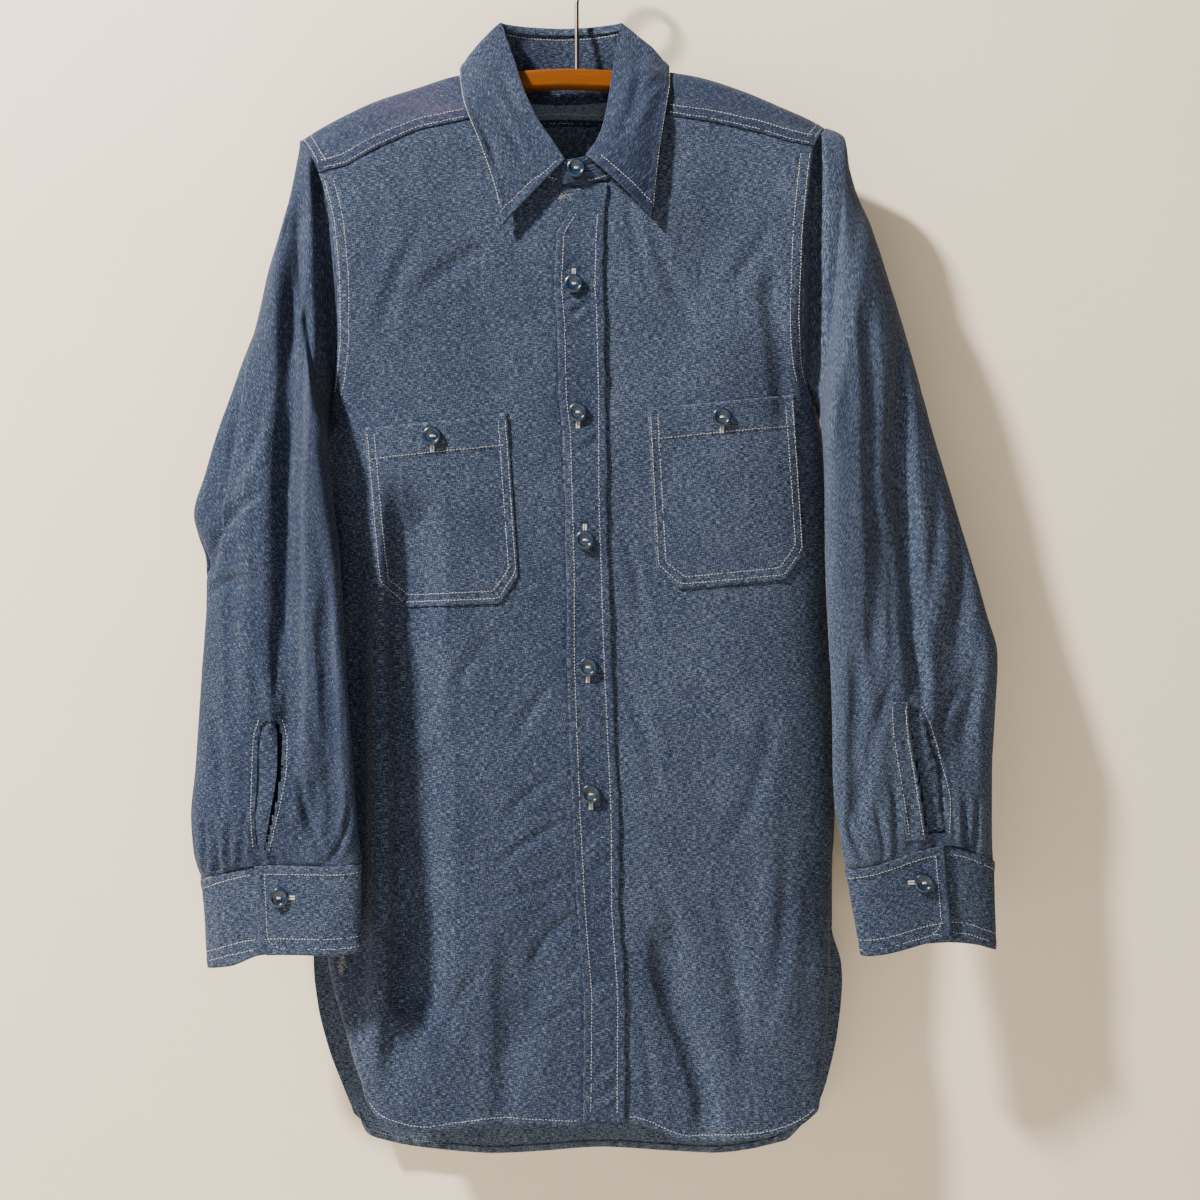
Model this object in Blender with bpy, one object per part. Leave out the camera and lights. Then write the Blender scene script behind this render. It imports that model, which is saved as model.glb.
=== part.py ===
"""A chambray work shirt hanging on a wooden hanger.

The origin is the inner top of the hanger's hook, +Z is up and the front faces -Y. The wearer's
right side is at -X. The tables are in millimetres, and "down" is measured from the origin.
"share" runs from 0 at the placket's middle to 1 at the armhole or side seam, and is negative on
the wearer's right. "root" is the square root of the drop below the shoulder ridge, and is
negative in front of it.
"""
import math

import bpy
import numpy as np

MM = 0.001

# walls and gaps, in millimetres
CLOTH = 1.2
COLLAR_PLY = 1.5
SEAM_GAP = 0.4
SIDE_SEAM_GAP = 0.75
ARMHOLE_GAP = 1.2
CUFF_SEAM_GAP = 1.1
STAND_FOOT_GAP = 1.9
STAND_TOP_GAP = 4.0
FOLD_GAP = 0.4
LAY_GAP = 0.8
BUTTON_GAP = 0.5

# the wearer's sides
RIGHT = -1
LEFT = 1
FRONT = -1
BACK = 1

# rows and columns of the panels, as parts of their height and shares of their width
FRONT_SHARES = (0.45, 0.65, 0.82, 0.94, 0.975)
BACK_SHARES = (0, 0.2, 0.4, 0.58, 0.74, 0.86, 0.93, 0.975, 1.0)
UNDERARM_PART = 0.26
BACK_TOP_PARTS = (0, 0.02, 0.045, 0.075)

# how square the garment's cross-sections are
BODY_SQUARENESS = 5.0
SLEEVE_SQUARENESS = 3.2

# underarm points and the shoulder tips, down from the hook
UNDERARM = {RIGHT: 389.0, LEFT: 380.0}
ARMHOLE_BUNCHING = 1.4

# the yoke's seam across the back, as a drop below the shoulder ridge
YOKE_BACK_DROP = 41.0
YOKE_BACK_RISE = 16.0
YOKE_LINES = (0, 0.15, 0.3, 0.42, 0.53, 0.64, 0.76, 0.88, 1)
YOKE_SHOULDER_STEPS = 7
YOKE_NECK_SPREAD = (-0.56, 0.54)

# the hanger
BAR_HALF_LENGTH = 187.0
BAR_HEIGHT = 14.3
BAR_THICKNESS = 12.0
BAR_END_TAPER = 0.25
BAR_CLEARANCE = 2.2
WIRE_RADIUS = 1.75
HOOK_INNER_RADIUS = 18.0
SHANK_TOP = 60.0
HOOK_OPENING = math.radians(68.0)
HOOK_SWEEP = math.radians(262.0)
WIRE_SEAT_DEPTH = 11.0
WIRE_FIT = 0.35

# the buttons
BUTTON_RADIUS = 7.2
BUTTON_SIDES = 12
BUTTON_PROFILE = ((0.0, 1.6), (0.34, 1.6), (0.55, 2.3), (0.82, 3.1), (0.98, 2.2), (0.88, 0.0), (0.0, 0.0))


def columns(names, rows):
    """A table with named columns."""
    values = np.array(rows, dtype=float)
    return {name: values[:, index] for index, name in enumerate(names.split())}


# shoulder ridge, which runs on over the neck as the line that the hanger's bar follows
RIDGE = columns("x down", (
    (-222, 171.5), (-204, 160.2), (-181.5, 148.3), (-159, 138.0), (-125, 126.9), (-92, 117.4),
    (-50, 112.0), (-9, 109.7), (32, 111.2), (73, 115.0), (97, 119.0), (130, 129.3),
    (164, 143.6), (190, 155.5), (200, 162.0)))

# middle line of the placket
MIDDLE = columns("down x", (
    (150, 1), (215, 2), (290, 3), (380, 5), (450, 7), (520, 9), (580, 10), (700, 15),
    (775, 17.5), (840, 22), (940, 21)))

# armhole, side seam and, below the vent, the free side edges of the front and back
SIDE_EDGE = {
    RIGHT: columns("down front back", (
        (168, -219.5, -219.5), (202, -200, -201), (246, -189, -190), (302, -185, -187),
        (326, -185, -187), (353, -188, -189), (389, -196, -196), (407, -200, -200),
        (454, -202.5, -202.5), (520, -205, -205), (613, -207, -207), (693, -208, -208),
        (760, -206, -209), (794, -201, -210), (829, -192.5, -210.5), (859, -184, -208),
        (893, -174, -200.5), (927, -163, -188), (952, -160, -178))),
    LEFT: columns("down front back", (
        (159, 198, 198), (180, 185.5, 188), (203, 182, 184), (256, 177, 179), (317, 175, 177),
        (336, 176, 177.5), (355, 178.6, 179.5), (380, 187, 187), (396, 190.5, 190.5),
        (416, 194, 194), (453, 196.6, 196.6), (520, 199, 199), (582, 202, 202),
        (682, 204.5, 204.5), (737, 203, 203), (793, 201, 203), (825, 198.6, 211.5),
        (842, 197, 212.6), (878, 194.5, 210), (922, 189, 201), (945, 186, 193)))}

# distance of the front and back from the ridge's plane, by the root of the drop below the ridge
DEPTH = columns("root front back", (
    (0, 0, 0), (1.4, 5.5, 5), (2.4, 9.5, 9), (3.5, 13, 13), (4.5, 17, 16), (5.9, 22, 19),
    (7.7, 26, 22), (10, 30, 24), (12.6, 33, 25.5), (15.8, 35, 26), (28, 37, 28)))

# part of that distance which is left at the side edges
EDGE_SHARE = columns("down front back", (
    (170, 1, 1), (210, 1, 1), (250, 0.92, 0.9), (320, 0.78, 0.75), (350, 0.52, 0.5),
    (372, 0.2, 0.2), (388, 0, 0), (780, 0, 0), (829, 0.4, 0.25), (860, 0.5, 0.4),
    (893, 0.55, 0.5), (930, 0.62, 0.55), (960, 0.65, 0.6)))

# seam between each front and the yoke, from the neck to the armhole
YOKE_SEAM = {
    RIGHT: columns("share down", ((0.385, 160.5), (0.56, 168.3), (0.745, 183.5), (0.88, 196.4), (1, 202))),
    LEFT: columns("share down", ((0.348, 157), (0.51, 161.3), (0.73, 169.5), (0.885, 177), (1, 180.3)))}

# lower edges
FRONT_HEM = {
    RIGHT: columns("share down", (
        (0, 938.5), (0.08, 939), (0.45, 936.7), (0.61, 940), (0.765, 944), (0.884, 940.5),
        (0.96, 934), (1, 922))),
    LEFT: columns("share down", (
        (0, 938.5), (0.12, 935.6), (0.41, 950.6), (0.707, 948.6), (0.918, 939.3), (1, 929)))}
BACK_HEM = columns("share down", (
    (-1, 948), (-0.96, 966), (-0.9, 972), (-0.78, 978), (-0.437, 984.7), (0.03, 980),
    (0.35, 982.6), (0.536, 984.7), (0.853, 974), (0.936, 960), (1, 943)))

# neck seam from the under end of the stand round the back to its upper end
NECK = columns("share root lift", (
    (0.065, -10.2, 1.6), (-0.03, -10.18, 1.4), (-0.1, -10.05, 1.1), (-0.19, -9.7, 0.8), (-0.3, -9.0, 0.4),
    (-0.365, -7.6, 0.2), (-0.388, -5.6, 0), (-0.385, 0, 0), (-0.335, 2.8, 0), (-0.2, 4.2, 0), (-0.06, 4.5, 0),
    (0.09, 4.3, 0), (0.24, 3.1, 0), (0.325, 0, 0), (0.352, -3.6, 0), (0.352, -5.9, 0), (0.325, -7.7, 0.3),
    (0.27, -8.8, 0.7), (0.2, -9.5, 1.4), (0.11, -9.95, 2.6), (0.03, -10.15, 3.6), (-0.065, -10.2, 3.8)))
NECK_CORNER_ROOT = -6.4
NECK_RIDGE_STATIONS = (6.75, 13.25)
STAND_ENDS = ((12.0, -33.6, 196.0), (-10.5, -35.6, 195.5))

# collar leaf from the right point round the back to the left point: its fold and its outer edge
LEAF = columns("fold_x fold_y fold_down edge_x edge_y edge_down bow", (
    (-8.3, -37.5, 195.4, -56.2, -39.5, 246, 0.5), (-18, -34.5, 180, -60.5, -38.5, 222, 1.0),
    (-28, -30, 165, -66, -37, 204, 1.8), (-43, -20.5, 132, -76, -34, 176, 3.0),
    (-50, -11.5, 108.6, -84.4, -29, 155, 4.0), (-56, -5, 90, -89.5, -18, 134, 4.5),
    (-61, 0, 75.3, -92.3, -3, 113.5, 3.0), (-50, 6, 75.4, -80, 16, 117, 3.0),
    (-32, 10, 75.6, -50, 23, 125, 3.0), (-13, 12, 75.8, -13, 26, 129, 3.0),
    (6, 10.5, 75.6, 28, 23, 124.5, 3.0), (24, 6, 75.4, 60, 16, 115.5, 3.0),
    (36, 0, 75.3, 73.1, -3, 111.0, 3.0), (32.5, -6, 97, 73, -15, 127, 4.5),
    (29.5, -12.5, 117, 71, -24.5, 143, 4.0), (26.3, -20.5, 141, 67.5, -32, 165, 3.0),
    (23.5, -26.5, 158, 64.5, -35.5, 184, 2.4), (20, -31, 172, 62, -38, 205, 1.8),
    (14, -35, 184, 60, -39, 224, 1.0), (7.8, -37.5, 192, 58.9, -40, 241.3, 0.5)))
NECK_AXIS = (-10.0, -8.0)

# sleeve sections from the shoulder to the cuff: outer and inner edge, and half depths
SLEEVE = {
    RIGHT: columns("out_x out_y out_down in_x in_y in_down front back", (
        (-225, -3, 205, -197, -17, 399, 24, 18), (-232, -6, 235, -192.5, -32, 417, 23, 15),
        (-243, -9, 275, -188, -39, 441, 22, 12), (-253, -11, 321, -184, -44, 470, 20, 11),
        (-267, -13, 359, -180, -48, 497, 18, 11), (-282, -13, 400, -177.5, -52, 521, 17, 11),
        (-294, -11, 437, -175.5, -54, 544, 16, 11), (-303, -8, 467, -174.5, -56, 562, 15, 11),
        (-291, -14, 505, -172.5, -57, 585, 14, 11), (-290, -18, 540, -171, -58, 606, 13, 11),
        (-292, -21, 581, -169, -58, 630, 13, 11), (-294, -23, 625, -166.5, -58, 657, 13, 11),
        (-296, -25, 665, -165, -58, 681, 13, 12), (-299, -26, 700, -164, -58, 702, 14, 12),
        (-297, -27, 728, -162.5, -58, 720, 13, 12), (-291, -28, 751, -161.6, -58, 732, 11, 10))),
    LEFT: columns("out_x out_y out_down in_x in_y in_down front back", (
        (211, -2, 168, 190.5, -7, 387, 24, 20), (214.5, -4, 192, 191, -18, 396, 24, 18),
        (221, -6, 215, 190, -30, 412, 23, 16), (232, -9, 240, 190.5, -35, 432, 23, 14),
        (248, -11, 288, 191, -37, 460, 21, 13),
        (264, -12, 344, 191, -38, 494, 19, 13), (279, -13, 400, 191.6, -39, 528, 17, 13),
        (294.5, -13, 450, 193, -39, 558, 16, 13), (310, -14, 502, 195, -39, 590, 15, 13),
        (321, -15, 542, 196, -39, 614, 15, 13), (330, -16, 579, 196.8, -39, 637, 14, 13),
        (327.5, -18, 625, 197.5, -39, 664, 13, 12), (325.5, -19, 665, 198.5, -39, 688, 13, 12),
        (325, -20, 702, 202, -39, 714, 13, 12), (326, -20, 738, 206.6, -39, 740, 11, 10)))}

# lower section of each cuff, and how far its front arches up at the top and bottom
CUFF_END = {
    RIGHT: columns("out_x out_y out_down in_x in_y in_down front back", (
        (-285, -29, 818, -161, -58, 798.5, 12, 11),)),
    LEFT: columns("out_x out_y out_down in_x in_y in_down front back", (
        (327, -21, 806.5, 218.5, -39, 806, 12, 11),))}
CUFF_ARCH = {RIGHT: (8.0, 7.0), LEFT: (16.0, 12.0)}
CUFF_LAP = 0.198
CUFF_UNDERLAP = 0.1
CUFF_CORNER = 5.0
CUFF_CORNER_WIDTH = 0.03
CUFF_TUCK_START = 1.04
CUFF_TUCK_LENGTH = 0.115
ARCH_WIDTH = 0.3
ARCH_BACK_SHARE = 0.35

# folds: a valley is pushed in and a ridge, with a negative depth, stands out
FOLD_END_SHARE = 0.35
FOLD_FADE = 0.25
FOLD_TAIL = 2.5
FOLD_FULL_REACH = 12.0
SLEEVE_EDGE_FADE = 0.12
ARMHOLE_FADE = 0.04
CUFF_FADE = 0.03
FRONT_FOLDS = columns("x down to_x to_down width depth", (
    (-162, 410, -166, 900, 15, 5.5), (-29, 797, -48, 903, 14, 4), (68, 808, 99, 916, 17, 5),
    (150, 700, 158, 900, 16, -3), (-120, 620, -128, 900, 22, -3), (-100, 250, -60, 360, 26, 2.5),
    (110, 230, 70, 340, 26, 2.5)))
BACK_FOLDS = columns("x down to_x to_down width depth", (
    (-95, 210, -120, 930, 20, 6), (70, 200, 96, 930, 22, 6), (-10, 420, 14, 960, 24, -4),
    (150, 420, 158, 900, 16, 5), (-165, 430, -172, 900, 16, 5)))
SLEEVE_FOLDS = {
    RIGHT: columns("x down to_x to_down width depth", (
        (-191, 216, -190, 300, 6, 9), (-190, 300, -193, 372, 6, 9), (-214, 210, -222, 349, 8, 8),
        (-223, 349, -226, 585, 9, 9), (-190, 660, -205, 720, 9, 4), (-262, 420, -252, 640, 12, -3))),
    LEFT: columns("x down to_x to_down width depth", (
        (187, 205, 184, 270, 6, 10), (184, 270, 183, 340, 6, 10), (244, 404, 256, 580, 11, 5),
        (220, 300, 224, 520, 13, -4), (292, 520, 286, 690, 12, 4)))}
SLEEVE_BACK_FOLDS = {
    RIGHT: columns("x down to_x to_down width depth", (
        (-215, 260, -235, 560, 12, 5), (-262, 480, -240, 700, 12, 4))),
    LEFT: columns("x down to_x to_down width depth", (
        (210, 260, 240, 560, 12, 5), (285, 470, 262, 700, 12, 4)))}

# front placket: its free edge and the edge that is sewn down
PLACKET = columns("down free sewn", (
    (216, 7, 23.5), (251, -15, 21), (291, -17, 20), (320, -14.5, 21.5), (380, -13, 23),
    (406, -10, 23), (455, -8.5, 23), (520, -7, 25), (580, -7, 27), (688, -3, 32),
    (709, -2, 32.5), (774, 1.5, 33), (838, 6.5, 37.5), (938, 5.5, 37)))
PLACKET_END = 936.5
FRONT_SPLIT = 2.0

# pockets: corners as x and down, and how much of the depth each column reaches
POCKET_CORNERS = {
    RIGHT: ((-163.8, 401), (-53, 390), (-151, 540), (-43, 536)),
    LEFT: ((55.4, 386), (169.3, 374.5), (63, 527), (178.5, 517))}
POCKET_REACH = columns("across reach", (
    (0, 0.88), (0.14, 1), (0.32, 1), (0.5, 1), (0.68, 1), (0.86, 1), (0.93, 0.93), (1, 0.86)))

# sleeve slits: free edge of the lap and outer edge of the underlap
SLIT = {
    RIGHT: columns("down lap under", (
        (622, -226, -238), (640, -221, -243), (660, -220, -244), (690, -225, -244.5), (726, -234, -243))),
    LEFT: columns("down lap under", (
        (612, 254, 262), (632, 255, 271), (658, 259, 279), (690, 264, 286), (716, 268, 285)))}
SLIT_LAP_WIDTH = 15.0
UNDERLAP_REACH = 0.92

# buttons: middle as x and down
FRONT_BUTTONS = columns("x down", (
    (-1.4, 291.0), (1.6, 389.9), (7.0, 488.0), (9.3, 585.4), (11.6, 682.7)))
NECK_BUTTON = (0.2, 201.8)
NECK_BUTTON_SEAT = -35.4
POCKET_BUTTONS = {RIGHT: (-110.5, 408.1), LEFT: (112.2, 393.5)}
CUFF_BUTTONS = {RIGHT: (-223.5, 758.5), LEFT: (266.0, 750.0)}

# colours in linear light
CHAMBRAY = (0.075, 0.105, 0.165, 1.0)
FADED_CHAMBRAY = (0.09, 0.12, 0.18, 1.0)
NAVY = (0.008, 0.018, 0.034, 1.0)
VARNISHED_WOOD = (0.36, 0.12, 0.012, 1.0)
NICKEL = (0.6, 0.55, 0.45, 1.0)


# ---------------------------------------------------------------- reading the tables

def between(knots, values, at):
    """Values on a smooth line through the knots that never swings past them."""
    steps = np.diff(knots)
    rises = np.diff(values, axis=0) / steps.reshape((-1,) + (1,) * (values.ndim - 1))
    slopes = np.zeros_like(values)
    slopes[0] = rises[0]
    slopes[-1] = rises[-1]
    if len(knots) > 2:
        product = rises[:-1] * rises[1:]
        total = rises[:-1] + rises[1:]
        safe = np.where(np.abs(total) < 1e-12, 1.0, total)
        slopes[1:-1] = np.where(product > 0, 2 * product / safe, 0.0)
    at = np.asarray(at, dtype=float)
    index = np.clip(np.searchsorted(knots, at) - 1, 0, len(steps) - 1)
    step = steps[index]
    part = np.clip((at - knots[index]) / step, 0.0, 1.0)
    if values.ndim > 1:
        extra = (1,) * (values.ndim - 1)
        step = step.reshape(step.shape + extra)
        part = part.reshape(part.shape + extra)
    start = values[index] * (1 + 2 * part) * (1 - part) ** 2
    end = values[index + 1] * part ** 2 * (3 - 2 * part)
    lean = slopes[index] * part * (1 - part) ** 2 - slopes[index + 1] * part ** 2 * (1 - part)
    return start + end + lean * step


def read(table, key, column, at):
    return between(table[key], table[column], at)


def fold_depth(folds, x, down):
    """How far the folds push the cloth in at each place of the front view."""
    total = np.zeros(np.broadcast(x, down).shape)
    rows = zip(folds["x"], folds["down"], folds["to_x"], folds["to_down"], folds["width"], folds["depth"])
    for x0, down0, x1, down1, width, depth in rows:
        run = np.hypot(x1 - x0, down1 - down0)
        along = ((x - x0) * (x1 - x0) + (down - down0) * (down1 - down0)) / run
        across = ((x - x0) * (down1 - down0) - (down - down0) * (x1 - x0)) / run
        past_end = np.maximum(np.maximum(-along, along - run), 0.0)
        fade = np.clip(np.minimum(along, run - along) / (FOLD_FADE * run), 0.0, 1.0)
        share = FOLD_END_SHARE + (1.0 - FOLD_END_SHARE) * fade
        total = total + depth * share * np.exp(-(across / width) ** 2 - (past_end / (FOLD_TAIL * width)) ** 2)
    return total


# ---------------------------------------------------------------- the body's surface

def edge_x(share, down, layer):
    """Where the armhole or side seam of that side lies."""
    column = "front" if layer == FRONT else "back"
    right = read(SIDE_EDGE[RIGHT], "down", column, down)
    left = read(SIDE_EDGE[LEFT], "down", column, down)
    return np.where(np.asarray(share) < 0, right, left)


def body_x(share, down, layer):
    middle = read(MIDDLE, "down", "x", down)
    return middle + np.abs(share) * (edge_x(share, down, layer) - middle)


def body_y(x, down, share, layer):
    column = "front" if layer == FRONT else "back"
    root = np.sqrt(np.maximum(down - read(RIDGE, "x", "down", x), 0.0))
    kept = read(EDGE_SHARE, "down", column, down)
    squareness = np.sqrt(np.maximum(1.0 - np.abs(share) ** BODY_SQUARENESS, 0.0))
    reach = read(DEPTH, "root", column, root) * (kept + (1.0 - kept) * squareness)
    folds = FRONT_FOLDS if layer == FRONT else BACK_FOLDS
    settled = np.clip(reach / FOLD_FULL_REACH, 0.0, 1.0)
    return layer * (SIDE_SEAM_GAP + reach - settled * fold_depth(folds, x, down))


def body_at_down(share, down, layer):
    """Points of the front or back at a share of the width and a height."""
    share, down = np.broadcast_arrays(np.asarray(share, float), np.asarray(down, float))
    x = body_x(share, down, layer)
    return np.stack([x, body_y(x, down, share, layer), down], axis=-1)


def body_at_root(share, root):
    """Points near the shoulder ridge; the root is negative in front of the ridge."""
    share, root = np.broadcast_arrays(np.asarray(share, float), np.asarray(root, float))
    layer = np.where(root < 0, FRONT, BACK)
    down = 150.0 + root ** 2
    for _ in range(4):
        x = np.where(layer == FRONT, body_x(share, down, FRONT), body_x(share, down, BACK))
        down = read(RIDGE, "x", "down", x) + root ** 2
    front = read(DEPTH, "root", "front", np.abs(root))
    back = read(DEPTH, "root", "back", np.abs(root))
    y = np.where(root < 0, -front, back)
    return np.stack([x, y, down], axis=-1)


def root_of(share, down):
    """Root of the drop below the ridge for a place on the front, as a negative number."""
    x = body_x(share, down, FRONT)
    return -np.sqrt(np.maximum(down - read(RIDGE, "x", "down", x), 0.0))


def neck_stations():
    """Half rows of the neck table, and more of them where the seam crosses the shoulder ridge."""
    last = len(NECK["share"]) - 1
    return np.sort(np.concatenate([np.linspace(0, last, 2 * last + 1), NECK_RIDGE_STATIONS]))


def neck_seam():
    rows = np.arange(len(NECK["share"]), dtype=float)
    return {name: between(rows, values, neck_stations()) for name, values in NECK.items()}


def front_top(side, shares):
    """Height of a front's upper edge: the neckline, then the seam to the yoke."""
    seam = YOKE_SEAM[side]
    neck_share, neck_root = neckline(side)
    root = np.interp(shares, neck_share, neck_root)
    top = body_at_root(side * shares, root)[..., 2]
    yoke_line = np.interp(shares, seam["share"], seam["down"])
    return np.where(shares < seam["share"][0], top, yoke_line)


def neckline(side):
    """Share and root of one front's neckline, from the placket to the yoke's corner."""
    in_front = (NECK["root"] < NECK_CORNER_ROOT) & (side * NECK["share"] >= 0)
    order = np.argsort(side * NECK["share"][in_front])
    corner = YOKE_SEAM[side]["share"][0]
    corner_root = root_of(side * corner, YOKE_SEAM[side]["down"][0])
    share = np.concatenate([[0.0], side * NECK["share"][in_front][order], [corner]])
    root = np.concatenate([[NECK["root"][0]], NECK["root"][in_front][order], [corner_root]])
    return share, root


def front_skin(x, down, lift):
    """Points lifted off the front's outer face."""
    x, down = np.broadcast_arrays(np.asarray(x, float), np.asarray(down, float))

    def height(px, pd):
        middle = read(MIDDLE, "down", "x", pd)
        side = np.where(px < middle, -1.0, 1.0)
        share = (px - middle) / np.abs(edge_x(side, pd, FRONT) - middle)
        return body_y(px, pd, share, FRONT)

    nudge = 1.0
    y = height(x, down)
    slope_x = (height(x + nudge, down) - height(x - nudge, down)) / (2 * nudge)
    slope_down = (height(x, down + nudge) - height(x, down - nudge)) / (2 * nudge)
    normal = np.stack([slope_x, -np.ones_like(x), slope_down], axis=-1)
    normal /= np.linalg.norm(normal, axis=-1, keepdims=True)
    return np.stack([x, y, down], axis=-1) + lift * normal


# ---------------------------------------------------------------- the sleeves' surface

def armhole_loop(side, around):
    """The armhole seam: 0 and 1 at the shoulder tip, 0.5 under the arm."""
    around = np.asarray(around, float)
    in_front = around <= 0.5
    part = np.where(in_front, 2 * around, 2 - 2 * around)
    tip = read(RIDGE, "x", "down", SIDE_EDGE[side]["front"][0])
    down = tip + (UNDERARM[side] - tip) * part ** ARMHOLE_BUNCHING
    front = body_at_down(np.full_like(down, side), down, FRONT)
    back = body_at_down(np.full_like(down, side), down, BACK)
    loop = np.where(in_front[..., None], front, back)
    loop[..., 0] += side * ARMHOLE_GAP
    return loop


def section(ends, around, squeeze=0.0):
    """One flattened ring: 0 and 1 at the outer edge, 0.5 at the inner edge, the front first."""
    around = np.mod(around, 1.0)
    in_front = around <= 0.5
    part = np.where(in_front, 2 * around, 2 - 2 * around)
    part = 0.5 * part + 0.5 * (0.5 - 0.5 * np.cos(np.pi * part))
    outer = np.array([ends["out_x"], ends["out_y"], ends["out_down"]])
    inner = np.array([ends["in_x"], ends["in_y"], ends["in_down"]])
    along = (outer - inner) / np.linalg.norm(outer - inner)
    outer = outer - squeeze * along
    inner = inner + squeeze * along
    point = outer + part[..., None] * (inner - outer)
    depth = np.where(in_front, -ends["front"] + squeeze, ends["back"] - squeeze)
    fullness = np.sqrt(np.maximum(1.0 - np.abs(2 * part - 1) ** SLEEVE_SQUARENESS, 0.0))
    point[..., 1] += depth * fullness
    return point


def rows_of(table):
    count = len(table["out_x"])
    return [{name: values[index] for name, values in table.items()} for index in range(count)]


def arch(around, height):
    """Lift of a cuff's edge on its front, highest at the lap."""
    around = np.mod(around, 1.0)
    part = np.where(around <= 0.5, 2 * around, 2 - 2 * around)
    bump = np.exp(-((part - 2 * CUFF_LAP) / ARCH_WIDTH) ** 2)
    bump = bump * np.sqrt(np.maximum(1 - np.abs(2 * part - 1) ** 4, 0))
    return np.where(around <= 0.5, height * bump, ARCH_BACK_SHARE * height * bump)


def sleeve_surface(side, around, row):
    """Points of a sleeve; row is 0 at the armhole and then counts the table's sections."""
    around = np.asarray(around, float)
    rings = [armhole_loop(side, around)]
    for ends in rows_of(SLEEVE[side]):
        rings.append(section(ends, around))
    rings[-1][..., 2] -= arch(around, CUFF_ARCH[side][0])
    rings = np.array(rings)
    hops = np.linalg.norm(np.diff(rings, axis=0), axis=-1).mean(axis=-1)
    knots = np.concatenate([[0.0], np.cumsum(hops)]) / hops.sum()
    along = np.interp(row, np.arange(len(knots)), knots)
    points = between(knots, rings, along)
    in_front = (np.mod(around, 1.0) <= 0.5)[None, :]
    front = fold_depth(SLEEVE_FOLDS[side], points[..., 0], points[..., 2])
    back = fold_depth(SLEEVE_BACK_FOLDS[side], points[..., 0], points[..., 2])
    part = np.where(around <= 0.5, 2 * around, 2 - 2 * around)
    loose = np.clip(np.minimum(part, 1 - part) / SLEEVE_EDGE_FADE, 0.0, 1.0)[None, :]
    loose = loose * np.clip(along / ARMHOLE_FADE, 0.0, 1.0)[:, None]
    loose = loose * np.clip((1 - along) / CUFF_FADE, 0.0, 1.0)[:, None]
    points[..., 1] += loose * np.where(in_front, front, -back)
    return points


def sleeve_patch(side, x, down, lift):
    """Points lifted off the front of a sleeve, at places of the front view."""
    around_lines = np.linspace(0.02, 0.48, 60)
    row_lines = np.linspace(0.5, 1.0, 160) * len(SLEEVE[side]["out_x"])
    skin = sleeve_surface(side, around_lines, row_lines)
    along_step = np.gradient(skin, axis=0)
    around_step = np.gradient(skin, axis=1)
    normal = np.cross(along_step, around_step)
    normal *= np.where(normal[..., 1:2] > 0, -1.0, 1.0)
    normal /= np.linalg.norm(normal, axis=-1, keepdims=True)
    patch = np.zeros(np.shape(x) + (3,))
    for index in np.ndindex(np.shape(x)):
        away = (skin[..., 0] - x[index]) ** 2 + (skin[..., 2] - down[index]) ** 2
        near = np.argsort(away, axis=None)[:4]
        weight = 1.0 / (away.ravel()[near] + 1e-6)
        weight /= weight.sum()
        y = (skin[..., 1].ravel()[near] * weight).sum()
        out = (normal.reshape(-1, 3)[near] * weight[:, None]).sum(axis=0)
        patch[index] = np.array([x[index], y, down[index]]) + lift * out
    return patch


# ---------------------------------------------------------------- making solids

def material(name, colour, roughness, metallic=0.0):
    finish = bpy.data.materials.new(name)
    finish.use_nodes = True
    shader = finish.node_tree.nodes["Principled BSDF"]
    shader.inputs["Base Color"].default_value = colour
    shader.inputs["Roughness"].default_value = roughness
    shader.inputs["Metallic"].default_value = metallic
    return finish


def add_object(name, mesh, finish):
    item = bpy.data.objects.new(name, mesh)
    bpy.context.scene.collection.objects.link(item)
    mesh.materials.append(finish)
    return item


def grid_mesh(name, grid, away, closed=False):
    """A mesh of quads through the grid, facing along away."""
    rows, cols = grid.shape[:2]
    places = grid.reshape(-1, 3) * MM
    places[:, 2] *= -1.0
    steps = cols if closed else cols - 1
    faces = []
    for row in range(rows - 1):
        for col in range(steps):
            nxt = (col + 1) % cols
            faces.append((row * cols + col, row * cols + nxt, (row + 1) * cols + nxt, (row + 1) * cols + col))
    outward = np.broadcast_to(away, grid.shape).reshape(-1, 3) * (1.0, 1.0, -1.0)
    facing = 0.0
    for a, b, c, d in faces:
        normal = np.cross(places[b] - places[d], places[c] - places[a])
        facing += np.dot(normal, outward[a])
    if facing < 0:
        faces = [face[::-1] for face in faces]
    mesh = bpy.data.meshes.new(name)
    mesh.from_pydata(places.tolist(), [], faces)
    mesh.validate()
    return mesh


def cloth_piece(name, grid, away, wall, colour, closed=False):
    """A wall of cloth whose outer face runs through the grid."""
    mesh = grid_mesh(name, grid, away, closed)
    mesh.shade_smooth()
    item = add_object(name, mesh, material(name + "_cloth", colour, 0.9))
    solid = item.modifiers.new("wall", "SOLIDIFY")
    solid.thickness = wall * MM
    solid.offset = -1.0
    solid.use_even_offset = True
    solid.use_rim = True
    return item


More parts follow.
